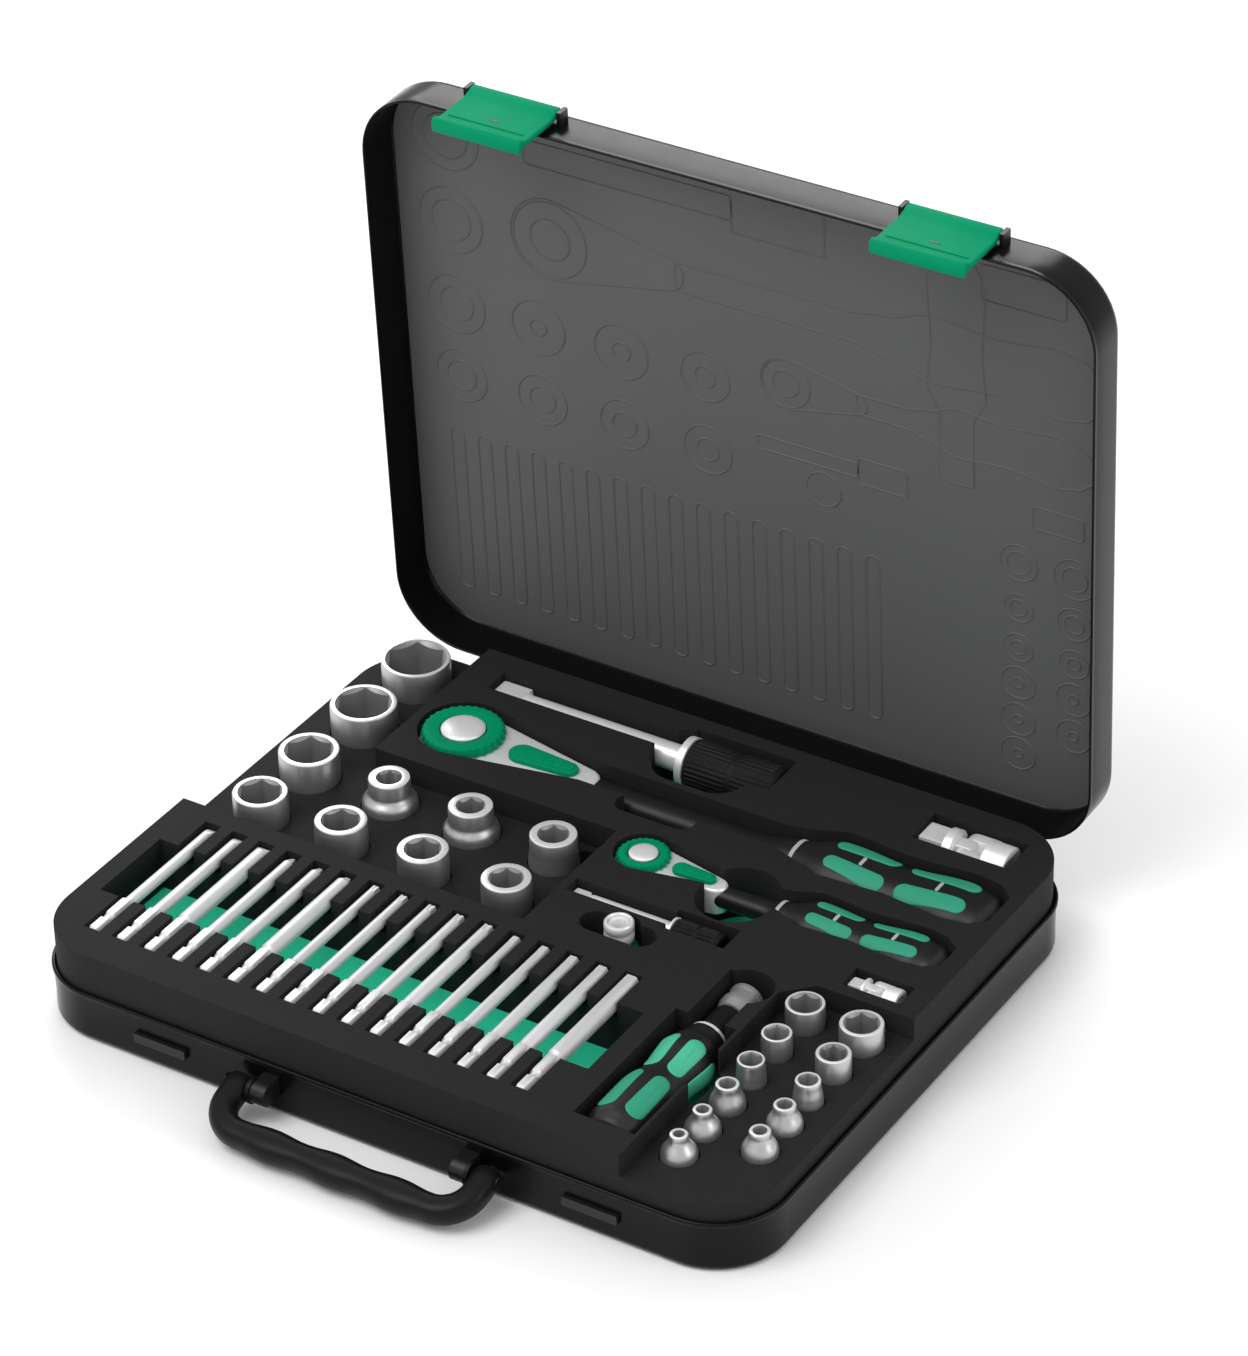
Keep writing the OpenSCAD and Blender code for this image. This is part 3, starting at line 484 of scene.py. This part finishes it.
def socket(node, af, x, y, top_r, base_r, top, length, neck, cone, drive, drive_depth):
    """Outside profile up, hexagon down to the drive square, and out at the bottom, as one closed skin."""
    n = 72
    r, b = top_r / 2, base_r / 2
    hex_r, sq = af / 2, drive / 2
    rings = [circle(b - 0.9, 0, n), circle(b - 0.35, 0.15, n), circle(b, 0.8, n)]
    if base_r > top_r + 0.5:
        rings += [circle(b, length - neck - cone - 1.2, n), circle(b - 0.25, length - neck - cone - 0.3, n)]
        for i in range(1, 7):
            t = i / 6
            ease = t * t * (3 - 2 * t)
            rings.append(circle(b - 0.25 + (r - b + 0.25) * ease,
                                length - neck - cone - 0.3 + (cone + 0.6) * t, n))
    else:
        belt = length * 0.42
        rings += [circle(b, belt, n), circle(b - 0.3, belt + 0.3, n), circle(b - 0.3, belt + 2.1, n),
                  circle(b, belt + 2.4, n)]
    wall = r - hex_r / math.cos(math.pi / 6)
    rim = min(0.9, max(0.45, wall * 0.5))
    rings += [circle(r, length - rim, n), circle(r - rim * 0.3, length - rim * 0.3, n),
              circle(r - rim, length, n)]
    mouth = min(hex_r / math.cos(math.pi / 6) + 0.1, r - rim - 0.15)
    outer_index = len(rings) - 1
    rings.append(circle(mouth, length - 0.05, n))
    rings.append([(px, py, length - 1.2 * (hex_r / math.cos(math.pi / 6) - math.hypot(px, py)) / max(0.1,
            hex_r * 0.1547) - 0.5)
                  for px, py, _ in polygon_ring(6, hex_r, 0, n)])
    rings.append(polygon_ring(6, hex_r, drive_depth + 1.2, n))
    floor_r = min(hex_r, sq) * 0.98
    rings.append(circle(floor_r, drive_depth, n))
    rings.append(polygon_ring(4, min(sq, floor_r), drive_depth - 0.4, n, math.pi / 4) if sq > floor_r
                 else polygon_ring(4, sq * 0.9, drive_depth - 0.4, n, math.pi / 4))
    rings.append(polygon_ring(4, sq, drive_depth - 0.9, n, math.pi / 4))
    rings.append(polygon_ring(4, sq, 0.8, n, math.pi / 4))
    rings.append(circle(min(sq * 1.42 + 0.2, b - 1.2), 0, n))
    bm = bmesh.new()
    rows = skin(bm, rings, wrap=True)
    bm.faces.ensure_lookup_table()
    rim_rows = set(rows[outer_index]) | set(rows[outer_index - 1]) | set(rows[outer_index + 1])
    # The top rim takes the bright rim steel. The hex bore and its floor take the dark steel as painted shade
    # in the recess.
    for f in bm.faces:
        if all(v in rim_rows for v in f.verts):
            f.material_index = 1
        elif f.calc_center_median().z > drive_depth - 2 and all(math.hypot(v.co.x, v.co.y) < hex_r / 0.86
                                                                + 0.06 for v in f.verts):
            f.material_index = 2
    emit(node + "_body", bm, SATIN, node, [node], moved(x, y, top - length), sharp=28,
         extra=(RIM_STEEL, DARK_STEEL_AND_BORE_SHADE))


for name, af, x, y, top_r, base_r in LARGE:
    socket("socket_" + name, af, x, y, top_r, base_r, 45.6, 37, 7.5, 4, 12.7, 15)
for name, af, x, y, top_r, base_r in SMALL:
    socket("small_socket_" + name, af, x, y, top_r, base_r, 44, 25, 2.5, 6, 6.35, 9)


# ---- Bits ----

def bit(bm, i):
    """Hexagonal shank with its ring groove at the front, round shaft, and the tip at the rear."""
    r, n = BIT_R[i], 36
    hex_r = 3.17
    rings = [polygon_ring(6, 2.5, 0.0, n), polygon_ring(6, hex_r, 0.7, n), polygon_ring(6, hex_r, 8.2, n),
             circle(2.8, 9.0, n), circle(2.65, 10.3, n), circle(2.8, 11.6, n),
             polygon_ring(6, hex_r, 12.4, n), polygon_ring(6, hex_r, 23.6, n), circle(min(r, 2.9), 25.2, n),
             circle(r, 26.6, n), circle(r, 81, n)]
    kind = 0 if i < 3 else 1 if i < 6 else 2 if i < 11 else 3
    if kind == 0:
        flat = 0.16 * r
        for t in (0.0, 0.5, 1.0):
            thick = r + (flat - r) * t
            rings.append([(math.copysign(min(abs(px), r * 0.96), px),
                           math.copysign(min(abs(py), thick), py), 81.5 + 4.5 * t)
                          for px, py, _ in circle(r, 0, n)])
    elif kind == 1:
        for t in (0.0, 0.35, 1.0):
            ring = []
            for k in range(n):
                a = TAU * k / n
                notch = 0.5 + 0.5 * math.cos(4 * a)
                rr = r * (1 - 0.62 * t) * (1 - 0.45 * min(1, t * 2.2) * notch)
                ring.append((rr * math.cos(a), rr * math.sin(a), 81.5 + 4.5 * t))
            rings.append(ring)
    elif kind == 2:
        for t in (0.0, 0.3, 1.0):
            ring = []
            for k in range(n):
                a = TAU * k / n
                rr = r * (1 - 0.1 * min(1, t * 3)) * (1 + (0.13 * math.cos(6 * a) if t > 0 else 0))
                ring.append((rr * math.cos(a), rr * math.sin(a), 81.5 + 4.5 * t))
            rings.append(ring)
    else:
        rings += [polygon_ring(6, r * 0.93, 82.0, n), polygon_ring(6, r * 0.93, 85.3, n),
                  polygon_ring(6, r * 0.75, 86, n)]
    part = bmesh.new()
    skin(part, rings)
    join(bm, part, moved(BIT_X + i * BIT_PITCH, BIT_Y, BIT_Z) @ ALONG_Y)


for node, first, last in (("screwdriver_bits", 0, 6), ("star_bits", 6, 11), ("hex_bits", 11, 16)):
    bm = bmesh.new()
    for i in range(first, last):
        bit(bm, i)
    emit(node + "_row", bm, BIT_STEEL, node, [node], sharp=28)


# ---- Ratchets ----

def grip_section(x, half_w, half_h, count=48):
    """A cross-section between an ellipse and a rectangle: GRIP_POWER sets how square it is."""
    power = 2 / GRIP_POWER
    ring = []
    for k in range(count):
        t = TAU * k / count
        c, s = math.cos(t), math.sin(t)
        ring.append((x, half_w * math.copysign(abs(c) ** power, c),
                     half_h * math.copysign(abs(s) ** power, s)))
    return ring


def lozenge(length, ra, rb, count, side=16):
    """Outline with round ends and points along its sides, so that it can follow a curved surface."""
    ends = [math.pi * i / count for i in range(count + 1)]
    steps = [i / side for i in range(1, side)]
    outline = [(length + rb * math.sin(t), -rb * math.cos(t)) for t in ends]
    outline += [(length * (1 - t), rb + (ra - rb) * t) for t in steps]
    outline += [(-ra * math.sin(t), ra * math.cos(t)) for t in ends]
    return outline + [(length * t, -ra - (rb - ra) * t) for t in steps]


def inlay(bm, place, a, b, ra, rb, lift=0.45, count=14, index=0):
    """A raised lozenge on a surface: place(u, v, lift) gives a point, and a and b are its end centres."""
    d = Vector((b[0] - a[0], b[1] - a[1]))
    turn = math.atan2(d.y, d.x)
    rings = []
    for scale, up in ((1.0, -0.7), (1.0, lift * 0.35), (0.95, lift * 0.8), (0.86, lift), (0.6, lift),
                      (0.3, lift), (0.05, lift)):
        ring = []
        for u, v in lozenge(d.length, ra * scale, rb * scale, count):
            px = a[0] + u * math.cos(turn) - v * math.sin(turn)
            py = a[1] + u * math.sin(turn) + v * math.cos(turn)
            ring.append(place(px, py, up))
        rings.append(ring)
    skin(bm, rings, index=index)


def ratchet(key, cx, cy, r, z0, z1, neck_x, neck_r, width, height, axis_z, spin_r, ring_r, ring_h,
            button_r, square, square_len,
            lever_x, lever_tip, lever_r, pairs, dots, teeth):
    body = key + "_ratchet"
    bm = bmesh.new()
    head = slot_outline(cx, neck_x, r, neck_r, 28)
    prism(bm, head, z0, z1, edge=2.2 if r > 15 else 1.5, low_edge=1.0, steps=4)
    skin(bm, [circle(spin_r + 2.6, z1 - 0.4, 48, cx), circle(spin_r + 2.4, z1 + 0.12, 48, cx),
              circle(spin_r + 1.2, z1 + 0.12, 48, cx)])
    emit(body + "_head_body", bm, CHROME, body, [body + "_head"], moved(0, cy, 0), sharp=45)

    bm = bmesh.new()
    start, end = width[0][0], width[-1][0]
    xs = [start + (end - start) * i / 90 for i in range(91)]
    rings = []
    for x in xs:
        w, h = table_value(width, x), table_value(height, x)
        rings.append([(px, py, pz + axis_z) for px, py, pz in grip_section(x, w, h)])
    w, h = table_value(width, end), table_value(height, end)
    for step, scale in ((0.8, 0.93), (1.3, 0.75), (1.5, 0.4)):
        rings.append([(px, py, pz + axis_z) for px, py,
                      pz in grip_section(end + step - 1.5, w * scale, h * scale)])
    skin(bm, rings)
    emit(body + "_grip", bm, GRIP_BLACK, body, [body + "_handle"], moved(0, cy, 0), sharp=60)

    def surface(x, y, up):
        """The point of the grip's upper side at x and y, raised by up along the section's normal."""
        w, h = table_value(width, x), table_value(height, x)
        t = max(-0.96, min(0.96, y / w))
        z = h * (1 - abs(t) ** GRIP_POWER) ** (1 / GRIP_POWER)
        across = math.copysign(abs(t) ** (GRIP_POWER - 1) / w, t)
        above = (z / h) ** (GRIP_POWER - 1) / h
        size = math.hypot(across, above)
        return (x, t * w + up * across / size, axis_z + z + up * above / size)

    bm = bmesh.new()
    for (xa, ya), (xb, yb), ra, rb in pairs:
        for s in (-1, 1):
            inlay(bm, surface, (xa, s * ya), (xb, s * yb), ra, rb)
    emit(body + "_grip_inlays", bm, INLAY, body, turn=moved(0, cy, 0), sharp=50)
    bm = bmesh.new()
    for x, long_half in dots:
        inlay(bm, surface, (x, -long_half), (x, long_half), 0.8, 0.8, lift=0.35, count=8)
    # The pale band round the front of the grip is a painted highlight that stands in for the glint of its
    # ring.
    glint_ring_x = 86.0 if key == "small" else 71.0
    w, h = table_value(width, glint_ring_x), table_value(height, glint_ring_x)
    skin(bm, [[(px, py, pz + axis_z) for px, py, pz in grip_section(glint_ring_x + dx, w + dr, h + dr)]
              for dx, dr in ((-1.2, -1), (-1.0, 0.1), (-0.6, 0.35), (0.6, 0.35), (1.0, 0.1), (1.2, -1))])
    emit(body + "_grip_marks_and_glint", bm, MARK_AND_GLINT, body, turn=moved(0, cy, 0), sharp=50)

    spindle = body + "_spindle"
    bm = bmesh.new()
    n = 64
    sq = square / 2
    rings = [polygon_ring(4, sq - 0.8, z0 - square_len, n, math.pi / 4),
             polygon_ring(4, sq, z0 - square_len + 0.9, n, math.pi / 4),
             polygon_ring(4, sq, z0 - 0.1, n, math.pi / 4), circle(spin_r - 0.6, z0 - 0.1, n),
             circle(spin_r, z0 + 0.4, n), circle(spin_r, z1 + 0.3, n)]
    skin(bm, [[(px * min(1, square * 0.68 / math.hypot(px, py)) if k < 3 else px,
                py * min(1, square * 0.68 / math.hypot(px, py)) if k < 3 else py, pz) for px, py,
                pz in ring]
              for k, ring in enumerate(rings)])
    emit(body + "_spindle_body", bm, CHROME, spindle, [body + "_drive"], moved(cx, cy, 0),
         sharp=30)

    bm = bmesh.new()
    n = teeth * 6
    low, top = z1 + 0.35, z1 + 0.3 + ring_h

    def cog(rr, z, depth):
        ring = []
        for i in range(n):
            phase = (i % 6) / 6
            cut = depth * (1 if phase < 0.34 else 0.55 if phase < 0.51 or phase > 0.82 else 0.0)
            a = TAU * i / n
            ring.append(((rr - cut) * math.cos(a), (rr - cut) * math.sin(a), z))
        return ring

    hole = button_r + 0.4
    skin(bm, [cog(hole, low, 0), cog(ring_r - 0.5, low, 0.6), cog(ring_r, low + 0.4, 0.9),
              cog(ring_r, low + ring_h * 0.5, 0.9), cog(ring_r - 0.9, top - 0.35, 0.7),
              cog(ring_r - 2.4, top, 0.2), cog(ring_r - 4.0, top, 0.0), cog(hole + 1.6, top - 0.15, 0),
              cog(hole + 0.5, top - 0.5, 0), cog(hole, top - 1.1, 0)], wrap=True)
    emit(body + "_thumb_ring", bm, GREEN, spindle, [body + "_ring"], moved(cx, cy, 0),
         sharp=32)

    button = body + "_button"
    bm = bmesh.new()
    base = z1 + 0.3 + ring_h - 1.2
    rise = button_r * 0.16 + 1.2
    profile = [(2.9, z1 - 4), (2.9, base + 0.1), (button_r - 0.4, base), (button_r, base + 0.3),
               (button_r, base + 0.9)]
    profile += [(button_r * math.cos(t) * 0.985, base + 0.9 + (rise - 0.95) * math.sin(t))
                for t in [i / 10 * 1.45 for i in range(11)]]
    lathe(bm, profile, 56)
    emit(button + "_cap", bm, CHROME, button, [button], moved(cx, cy, 0), sharp=40)

    lever = body + "_lever"
    bm = bmesh.new()
    reach = lever_tip - lever_x
    prism(bm, slot_outline(0, reach, lever_r, lever_r * 0.72, 20), z1 + 0.2, z1 + 2.4, edge=0.8,
          low_edge=0.2)
    prism(bm, slot_outline(reach * 0.30, reach * 1.0, lever_r * 0.62, lever_r * 0.45, 14), z1 + 2.0,
          z1 + 3.0, edge=0.5, low_edge=0.05)
    lathe(bm, [(1.9, z1 - 5), (1.9, z1 + 1)], 24)
    for k in range(3):
        x = reach * (0.5 + 0.18 * k)
        prism(bm, [(px + x, py) for px, py in rect_outline(0.7, lever_r * 0.9, 0.3, 3)], z1 + 2.6,
              z1 + 3.25, edge=0.2, low_edge=0.05)
    emit(lever + "_blade", bm, GREEN, lever, [lever], moved(lever_x, cy, 0), sharp=40)


ratchet("large", -100, 80.5, 20, 20, 39.4, -38, 8, BIG_WIDTH, BIG_HEIGHT, 32.2, 12, 19, 4.4, 10, 12.6, 14,
        -69, -45, 6.2,
        [((91, 6.4), (113, 8.2), 3.5, 4.2), ((127, 8.2), (152, 7.2), 4.2, 4.0)], [(103, 2.2), (140, 2.4)],
        30)
ratchet("small", 18, 40.8, 12.6, 27, 40, 54, 5.2, SMALL_WIDTH, SMALL_HEIGHT, 34.4, 7.5, 12, 3.2, 6.4, 6.3,
        8, 37, 51, 4,
        [((104, 5.2), (120, 5.9), 2.9, 3.1), ((131, 6.0), (151, 5.4), 3.1, 3.0)], [(113, 1.7), (141, 1.8)],
        24)


# ---- Extensions ----

def extension(node, x0, y, z, shaft_r, sleeve_x, x1, sleeve_r, square, flange):
    n = 96
    sq = square / 2
    drive = square * 1.2
    total, sleeve = x1 - x0, sleeve_x - x0

    def squared(flat, at):
        cut = square * 0.68
        return [(px * min(1, cut / math.hypot(px, py)), py * min(1, cut / math.hypot(px, py)), pz)
                for px, py, pz in polygon_ring(4, flat, at, n, math.pi / 4)]

    bm = bmesh.new()
    rings = [squared(sq - 0.7, 0), squared(sq, 0.9), squared(sq, drive), circle(sq * 1.05, drive + 0.6, n),
             circle(shaft_r, drive + 2.2, n), circle(shaft_r, drive + 9, n), circle(shaft_r, sleeve - 5, n),
             circle(shaft_r, sleeve - 0.6, n), circle(sleeve_r - 0.8, sleeve, n),
             circle(sleeve_r, sleeve + 0.5, n), circle(sleeve_r, sleeve + flange - 0.3, n),
             circle(sleeve_r - 0.6, sleeve + flange, n)]
    skin(bm, rings)
    mouth = [circle(sleeve_r - 0.7, total - 1.6, n), circle(sleeve_r - 0.3, total - 0.5, n),
             circle(sleeve_r - 1.0, total, n), polygon_ring(4, sq + 0.9, total, n, math.pi / 4),
             polygon_ring(4, sq + 0.1, total - 0.9, n, math.pi / 4),
             polygon_ring(4, sq + 0.1, total - drive - 1, n, math.pi / 4)]
    skin(bm, mouth, caps=(False, True), index=1)
    for s in (-1, 1):
        ball = [(sq * 0.34 * math.cos(t), sq + 0.05 + sq * 0.22 * math.sin(t)) for t in (0, 0.5, 1.0, 1.45)]
        part = bmesh.new()
        lathe(part, [(sq * 0.34, sq - 1)] + ball, 20)
        join(bm, part, moved(0, 0, drive * 0.5) @ Matrix.Rotation(s * math.pi / 2, 4, "X"))
    place = moved(x0, y, z) @ ALONG_X
    emit(node + "_bar", bm, CHROME, node, [node], place, sharp=30, extra=(SHANK_BLACK,))

    bm = bmesh.new()
    teeth = 32 if sleeve_r > 8 else 24
    count = teeth * 4

    def knurl(r, at, depth):
        ring = []
        for i in range(count):
            cut = depth * (0.0 if i % 4 in (1, 2) else 1.0)
            a = TAU * i / count
            ring.append(((r - cut) * math.cos(a), (r - cut) * math.sin(a), at))
        return ring

    s0, s1 = sleeve + flange, total - 1.4
    r = sleeve_r - 0.15
    bands = [knurl(r - 1.2, s0, 0), knurl(r - 0.3, s0 + 0.3, 0), knurl(r, s0 + 1.2, 0.0),
             knurl(r, s0 + 1.6, 0.45), knurl(r, s0 + (s1 - s0) * 0.48, 0.45),
             knurl(r - 0.6, s0 + (s1 - s0) * 0.5, 0), knurl(r - 0.6, s0 + (s1 - s0) * 0.55, 0),
             knurl(r, s0 + (s1 - s0) * 0.57, 0.45), knurl(r, s1 - 1.6, 0.45), knurl(r, s1 - 1.2, 0),
             knurl(r - 0.4, s1 - 0.2, 0), knurl(r - 1.4, s1, 0)]
    skin(bm, bands)
    emit(node + "_sleeve", bm, SHANK_BLACK, node, turn=place, sharp=30)


extension("long_extension", -108, 120, 34.2, 6.2, -9, 40, 11.6, 12.6, 4.0)
extension("short_extension", 4.5, 5.5, 37, 3.8, 54, 78, 6.6, 6.3, 1.5)


# ---- Universal joints ----

def universal(key, x0, y, z, square, square_len, r, pivot, x1):
    n = 64
    sq = square / 2
    reach, tongue = pivot - x0, r * 0.7
    disc_end = reach - r * 0.6 - 0.4
    place = moved(x0, y, z) @ ALONG_X
    bm = bmesh.new()
    cut = square * 0.68

    def squared(flat, at):
        return [(px * min(1, cut / math.hypot(px, py)), py * min(1, cut / math.hypot(px, py)), pz)
                for px, py, pz in polygon_ring(4, flat, at, n, math.pi / 4)]

    skin(bm, [squared(sq - 0.6, 0), squared(sq, 0.8), squared(sq, square_len - 0.5),
              circle(r - 0.7, square_len, n), circle(r, square_len + 0.3, n), circle(r, disc_end - 0.3, n),
              circle(r - 0.5, disc_end, n)])
    for s in (-1, 1):
        part = bmesh.new()
        lathe(part, [(sq * 0.3, sq - 1), (sq * 0.3, sq), (sq * 0.2, sq + 0.35), (sq * 0.05, sq + 0.45)], 18)
        join(bm, part, moved(0, 0, square_len * 0.5) @ Matrix.Rotation(s * math.pi / 2, 4, "X"))
    emit(key + "_joint_drive_body", bm, CHROME, key + "_joint_drive", [key + "_joint_drive"],
         place, sharp=32)

    bm = bmesh.new()
    outline = slot_outline(0.0, 2.0 + reach - disc_end, r * 0.6, r * 0.58)
    outline = [(-px, -pz) for px, pz in outline]
    prism(bm, outline, -tongue / 2, tongue / 2, edge=0.3, low_edge=0.3)
    lathe(bm, [(r * 0.27, -r + 0.4), (r * 0.27, r - 0.4)], 24)
    emit(key + "_joint_tongue", bm, CHROME, key + "_joint_drive",
         turn=moved(pivot, y, z) @ Matrix.Rotation(-math.pi / 2, 4, "X"), sharp=40)

    bm = bmesh.new()
    length, near = x1 - pivot, r * 0.85
    skin(bm, [circle(r - 0.6, near, n), circle(r, near + 0.5, n), circle(r, length - 1.0, n),
              circle(r - 0.3, length - 0.3, n), circle(r - 1.0, length, n),
              polygon_ring(4, min(sq + 0.5, r * 0.66), length, n, math.pi / 4),
              polygon_ring(4, min(sq, r * 0.66), length - 0.8, n, math.pi / 4),
              polygon_ring(4, min(sq, r * 0.66), length - sq * 1.4, n, math.pi / 4)])
    ear_in, ear_out = tongue / 2 + 0.15, r * 0.97
    for s in (-1, 1):
        part = bmesh.new()
        outline = slot_outline(0.0, near + 1.0, r * 0.6, r * 0.6 - 0.01)
        prism(part, outline, ear_in, ear_out, edge=0.9, low_edge=0.15)
        lathe(part, [(r * 0.3, ear_out - 0.3), (r * 0.3, ear_out + 0.12), (r * 0.22, ear_out + 0.2),
                     (r * 0.1, ear_out + 0.2)], 24)
        turn = Matrix.Rotation(-math.pi / 2, 4, "X") if s > 0 else Matrix.Rotation(math.pi / 2, 4, "X")
        join(bm, part, ALONG_X.inverted() @ turn)
    emit(key + "_joint_socket_body", bm, CHROME, key + "_joint_socket", [key + "_joint_socket"],
         moved(pivot, y, z) @ ALONG_X, sharp=32)


universal("large", 112, 118, 35.9, 12.6, 12, 9.6, 134.5, 154.5)
universal("small", 138, 8.5, 38.5, 6.3, 7, 5.8, 150, 162)


# ---- Adaptor and bit driver ----

def adaptor():
    place = moved(37, -9.5, 0)
    bm = bmesh.new()
    n = 72
    lathe(bm, [(5.5, 12), (7.9, 12), (8.4, 12.6), (8.4, 22), (7.7, 23), (7.7, 25), (8.4, 26), (8.4, 31.6),
               (7.6, 33.2), (5.0, 33.5)], n)
    emit("adaptor_sleeve", bm, GREEN, "adaptor", ["adaptor_body"], place, sharp=40)
    bm = bmesh.new()
    skin(bm, [circle(4.85, 33, n), circle(4.85, 44.2, n), circle(4.5, 44.8, n),
              polygon_ring(6, 3.5, 44.8, n), polygon_ring(6, 3.18, 44.2, n), polygon_ring(6, 3.18, 32, n)],
              index=0)
    emit("adaptor_core", bm, CHROME, "adaptor", turn=place, sharp=35)
    bm = bmesh.new()
    skin(bm, [circle(4.95, 37.2, n), circle(6.1, 37, n), circle(6.5, 37.4, n), circle(6.5, 40.4, n),
              circle(6.1, 40.9, n), circle(6.1, 41.7, n), circle(6.5, 42.2, n), circle(6.5, 45.2, n),
              circle(6.0, 45.9, n), circle(5.3, 46.0, n), circle(4.95, 45.6, n)], wrap=True)
    emit("adaptor_collar_body", bm, CHROME, "adaptor_collar", ["adaptor_collar"], place,
         sharp=40)


adaptor()


def bit_driver():
    x, z, rear, front, tip = 102.0, 32.2, -125.0, -47.0, -13.0
    place = moved(x, rear, z) @ ALONG_Y
    bm = bmesh.new()
    n = 64
    radius = [(0, 8.5), (2.5, 11.6), (8, 13.4), (28, 13.5), (46, 11.5), (60, 12.9), (68, 11.4), (74, 9.6),
              (78, 9.2)]
    rings = [circle(4, 0, n), circle(7.4, 0.4, n)] + [circle(table_value(radius, t * 78 / 60), t * 78 / 60,
                                                             n) for t in range(1, 61)]
    rings.append(circle(7.5, 78, n))
    skin(bm, rings)
    emit("bit_driver_handle", bm, GRIP_BLACK, "bit_driver", ["bit_driver_grip"], place,
         sharp=50)

    mean_r = 12.5

    def around(u, v, up):
        r = table_value(radius, u) + up
        a = v / mean_r
        return (r * math.sin(a), -r * math.cos(a), u)

    bm = bmesh.new()
    for k in range(6):
        v = mean_r * math.radians(60 * k + 30)
        inlay(bm, around, (13, v), (33, v), 4.3, 3.9, lift=0.4)
        # index=1 gives the lozenges nearest the shank the lighter inlay green, which is a painted highlight.
        inlay(bm, around, (46, v), (61, v), 4.4, 4.2, lift=0.4, index=1)
    emit("bit_driver_inlays", bm, INLAY, "bit_driver", turn=place, sharp=50,
         extra=(INLAY_HIGHLIGHT,))

    bm = bmesh.new()
    s0 = front - rear
    length = tip - rear
    skin(bm, [circle(7.0, s0 - 0.4, n), circle(8.9, s0 + 0.1, n), circle(9.1, s0 + 0.8, n),
              circle(8.9, s0 + 1.8, n), circle(7.2, s0 + 2.2, n)])
    skin(bm, [circle(3.5, length - 16, n), circle(7.0, length - 14.6, n), circle(7.9, length - 11.5, n),
              circle(8.1, length - 10.9, n), circle(8.1, length - 8.2, n), circle(7.5, length - 7.8, n),
              circle(7.5, length - 3.2, n), circle(8.1, length - 2.8, n), circle(8.1, length - 0.9, n),
              circle(7.2, length, n), polygon_ring(6, 3.7, length, n),
              polygon_ring(6, 3.2, length - 0.9, n), polygon_ring(6, 3.2, length - 13, n)], index=1)
    emit("bit_driver_chuck", bm, RIM_STEEL, "bit_driver", ["bit_driver_shank"], place,
         sharp=32, extra=(DARK_STEEL_AND_BORE_SHADE,))
    bm = bmesh.new()
    skin(bm, [circle(5.5, s0 + 2.0, n), circle(6.9, s0 + 2.4, n), circle(6.9, s0 + 17.0, n),
              circle(6.0, s0 + 19.5, n), circle(4, s0 + 20.5, n)])
    emit("bit_driver_neck", bm, SHANK_BLACK, "bit_driver", turn=place, sharp=40)


bit_driver()


# ---- Camera, lights and floor ----

def stage():
    floor_mesh = bpy.data.meshes.new("floor")
    half = 30.0
    corners = [(-half, -half, 0), (half, -half, 0), (half, half, 0), (-half, half, 0)]
    floor_mesh.from_pydata(corners, [], [(0, 1, 2, 3)])
    floor = bpy.data.objects.new("floor", floor_mesh)
    bpy.context.scene.collection.objects.link(floor)
    floor_mesh.materials.append(look("floor_white", (0.93, 0.93, 0.93), 0.9, spec=0.1, tone=0.01))

    data = bpy.data.cameras.new("camera")
    data.sensor_width = 36
    data.lens = 140.62
    data.clip_end = 100
    camera = bpy.data.objects.new("camera", data)
    bpy.context.scene.collection.objects.link(camera)
    right = Vector((0.84943, 0.52737, -0.01877))
    up = Vector((-0.27805, 0.47751, 0.83347))
    back = right.cross(up)
    turn = Matrix((right, up, back)).transposed().to_4x4()
    camera.matrix_world = Matrix.Translation((1.0032, -1.5152, 1.3525)) @ turn
    bpy.context.scene.camera = camera

    def area(name, place, aim, size, watts):
        light = bpy.data.lights.new(name, "AREA")
        light.shape = "RECTANGLE"
        light.size, light.size_y = size
        light.energy = watts
        lamp = bpy.data.objects.new(name, light)
        bpy.context.scene.collection.objects.link(lamp)
        lamp.location = place
        lamp.rotation_euler = (Vector(aim) - Vector(place)).to_track_quat("-Z", "Y").to_euler()

    area("key", (-0.6, -1.2, 2.4), (0, 0, 0), (1.6, 1.6), 34)
    area("back", (-1.3, 2.3, 1.9), (0, 0, 0.1), (2.2, 1.2), 42)
    area("side", (2.4, 0.2, 1.2), (0, 0, 0.1), (1.2, 1.2), 10)

    world = bpy.data.worlds.new("studio")
    bpy.context.scene.world = world
    world.use_nodes = True
    world.node_tree.nodes["Background"].inputs["Color"].default_value = (1, 1, 1, 1)
    world.node_tree.nodes["Background"].inputs["Strength"].default_value = 0.75
    bpy.context.scene.view_settings.view_transform = "Standard"


stage()
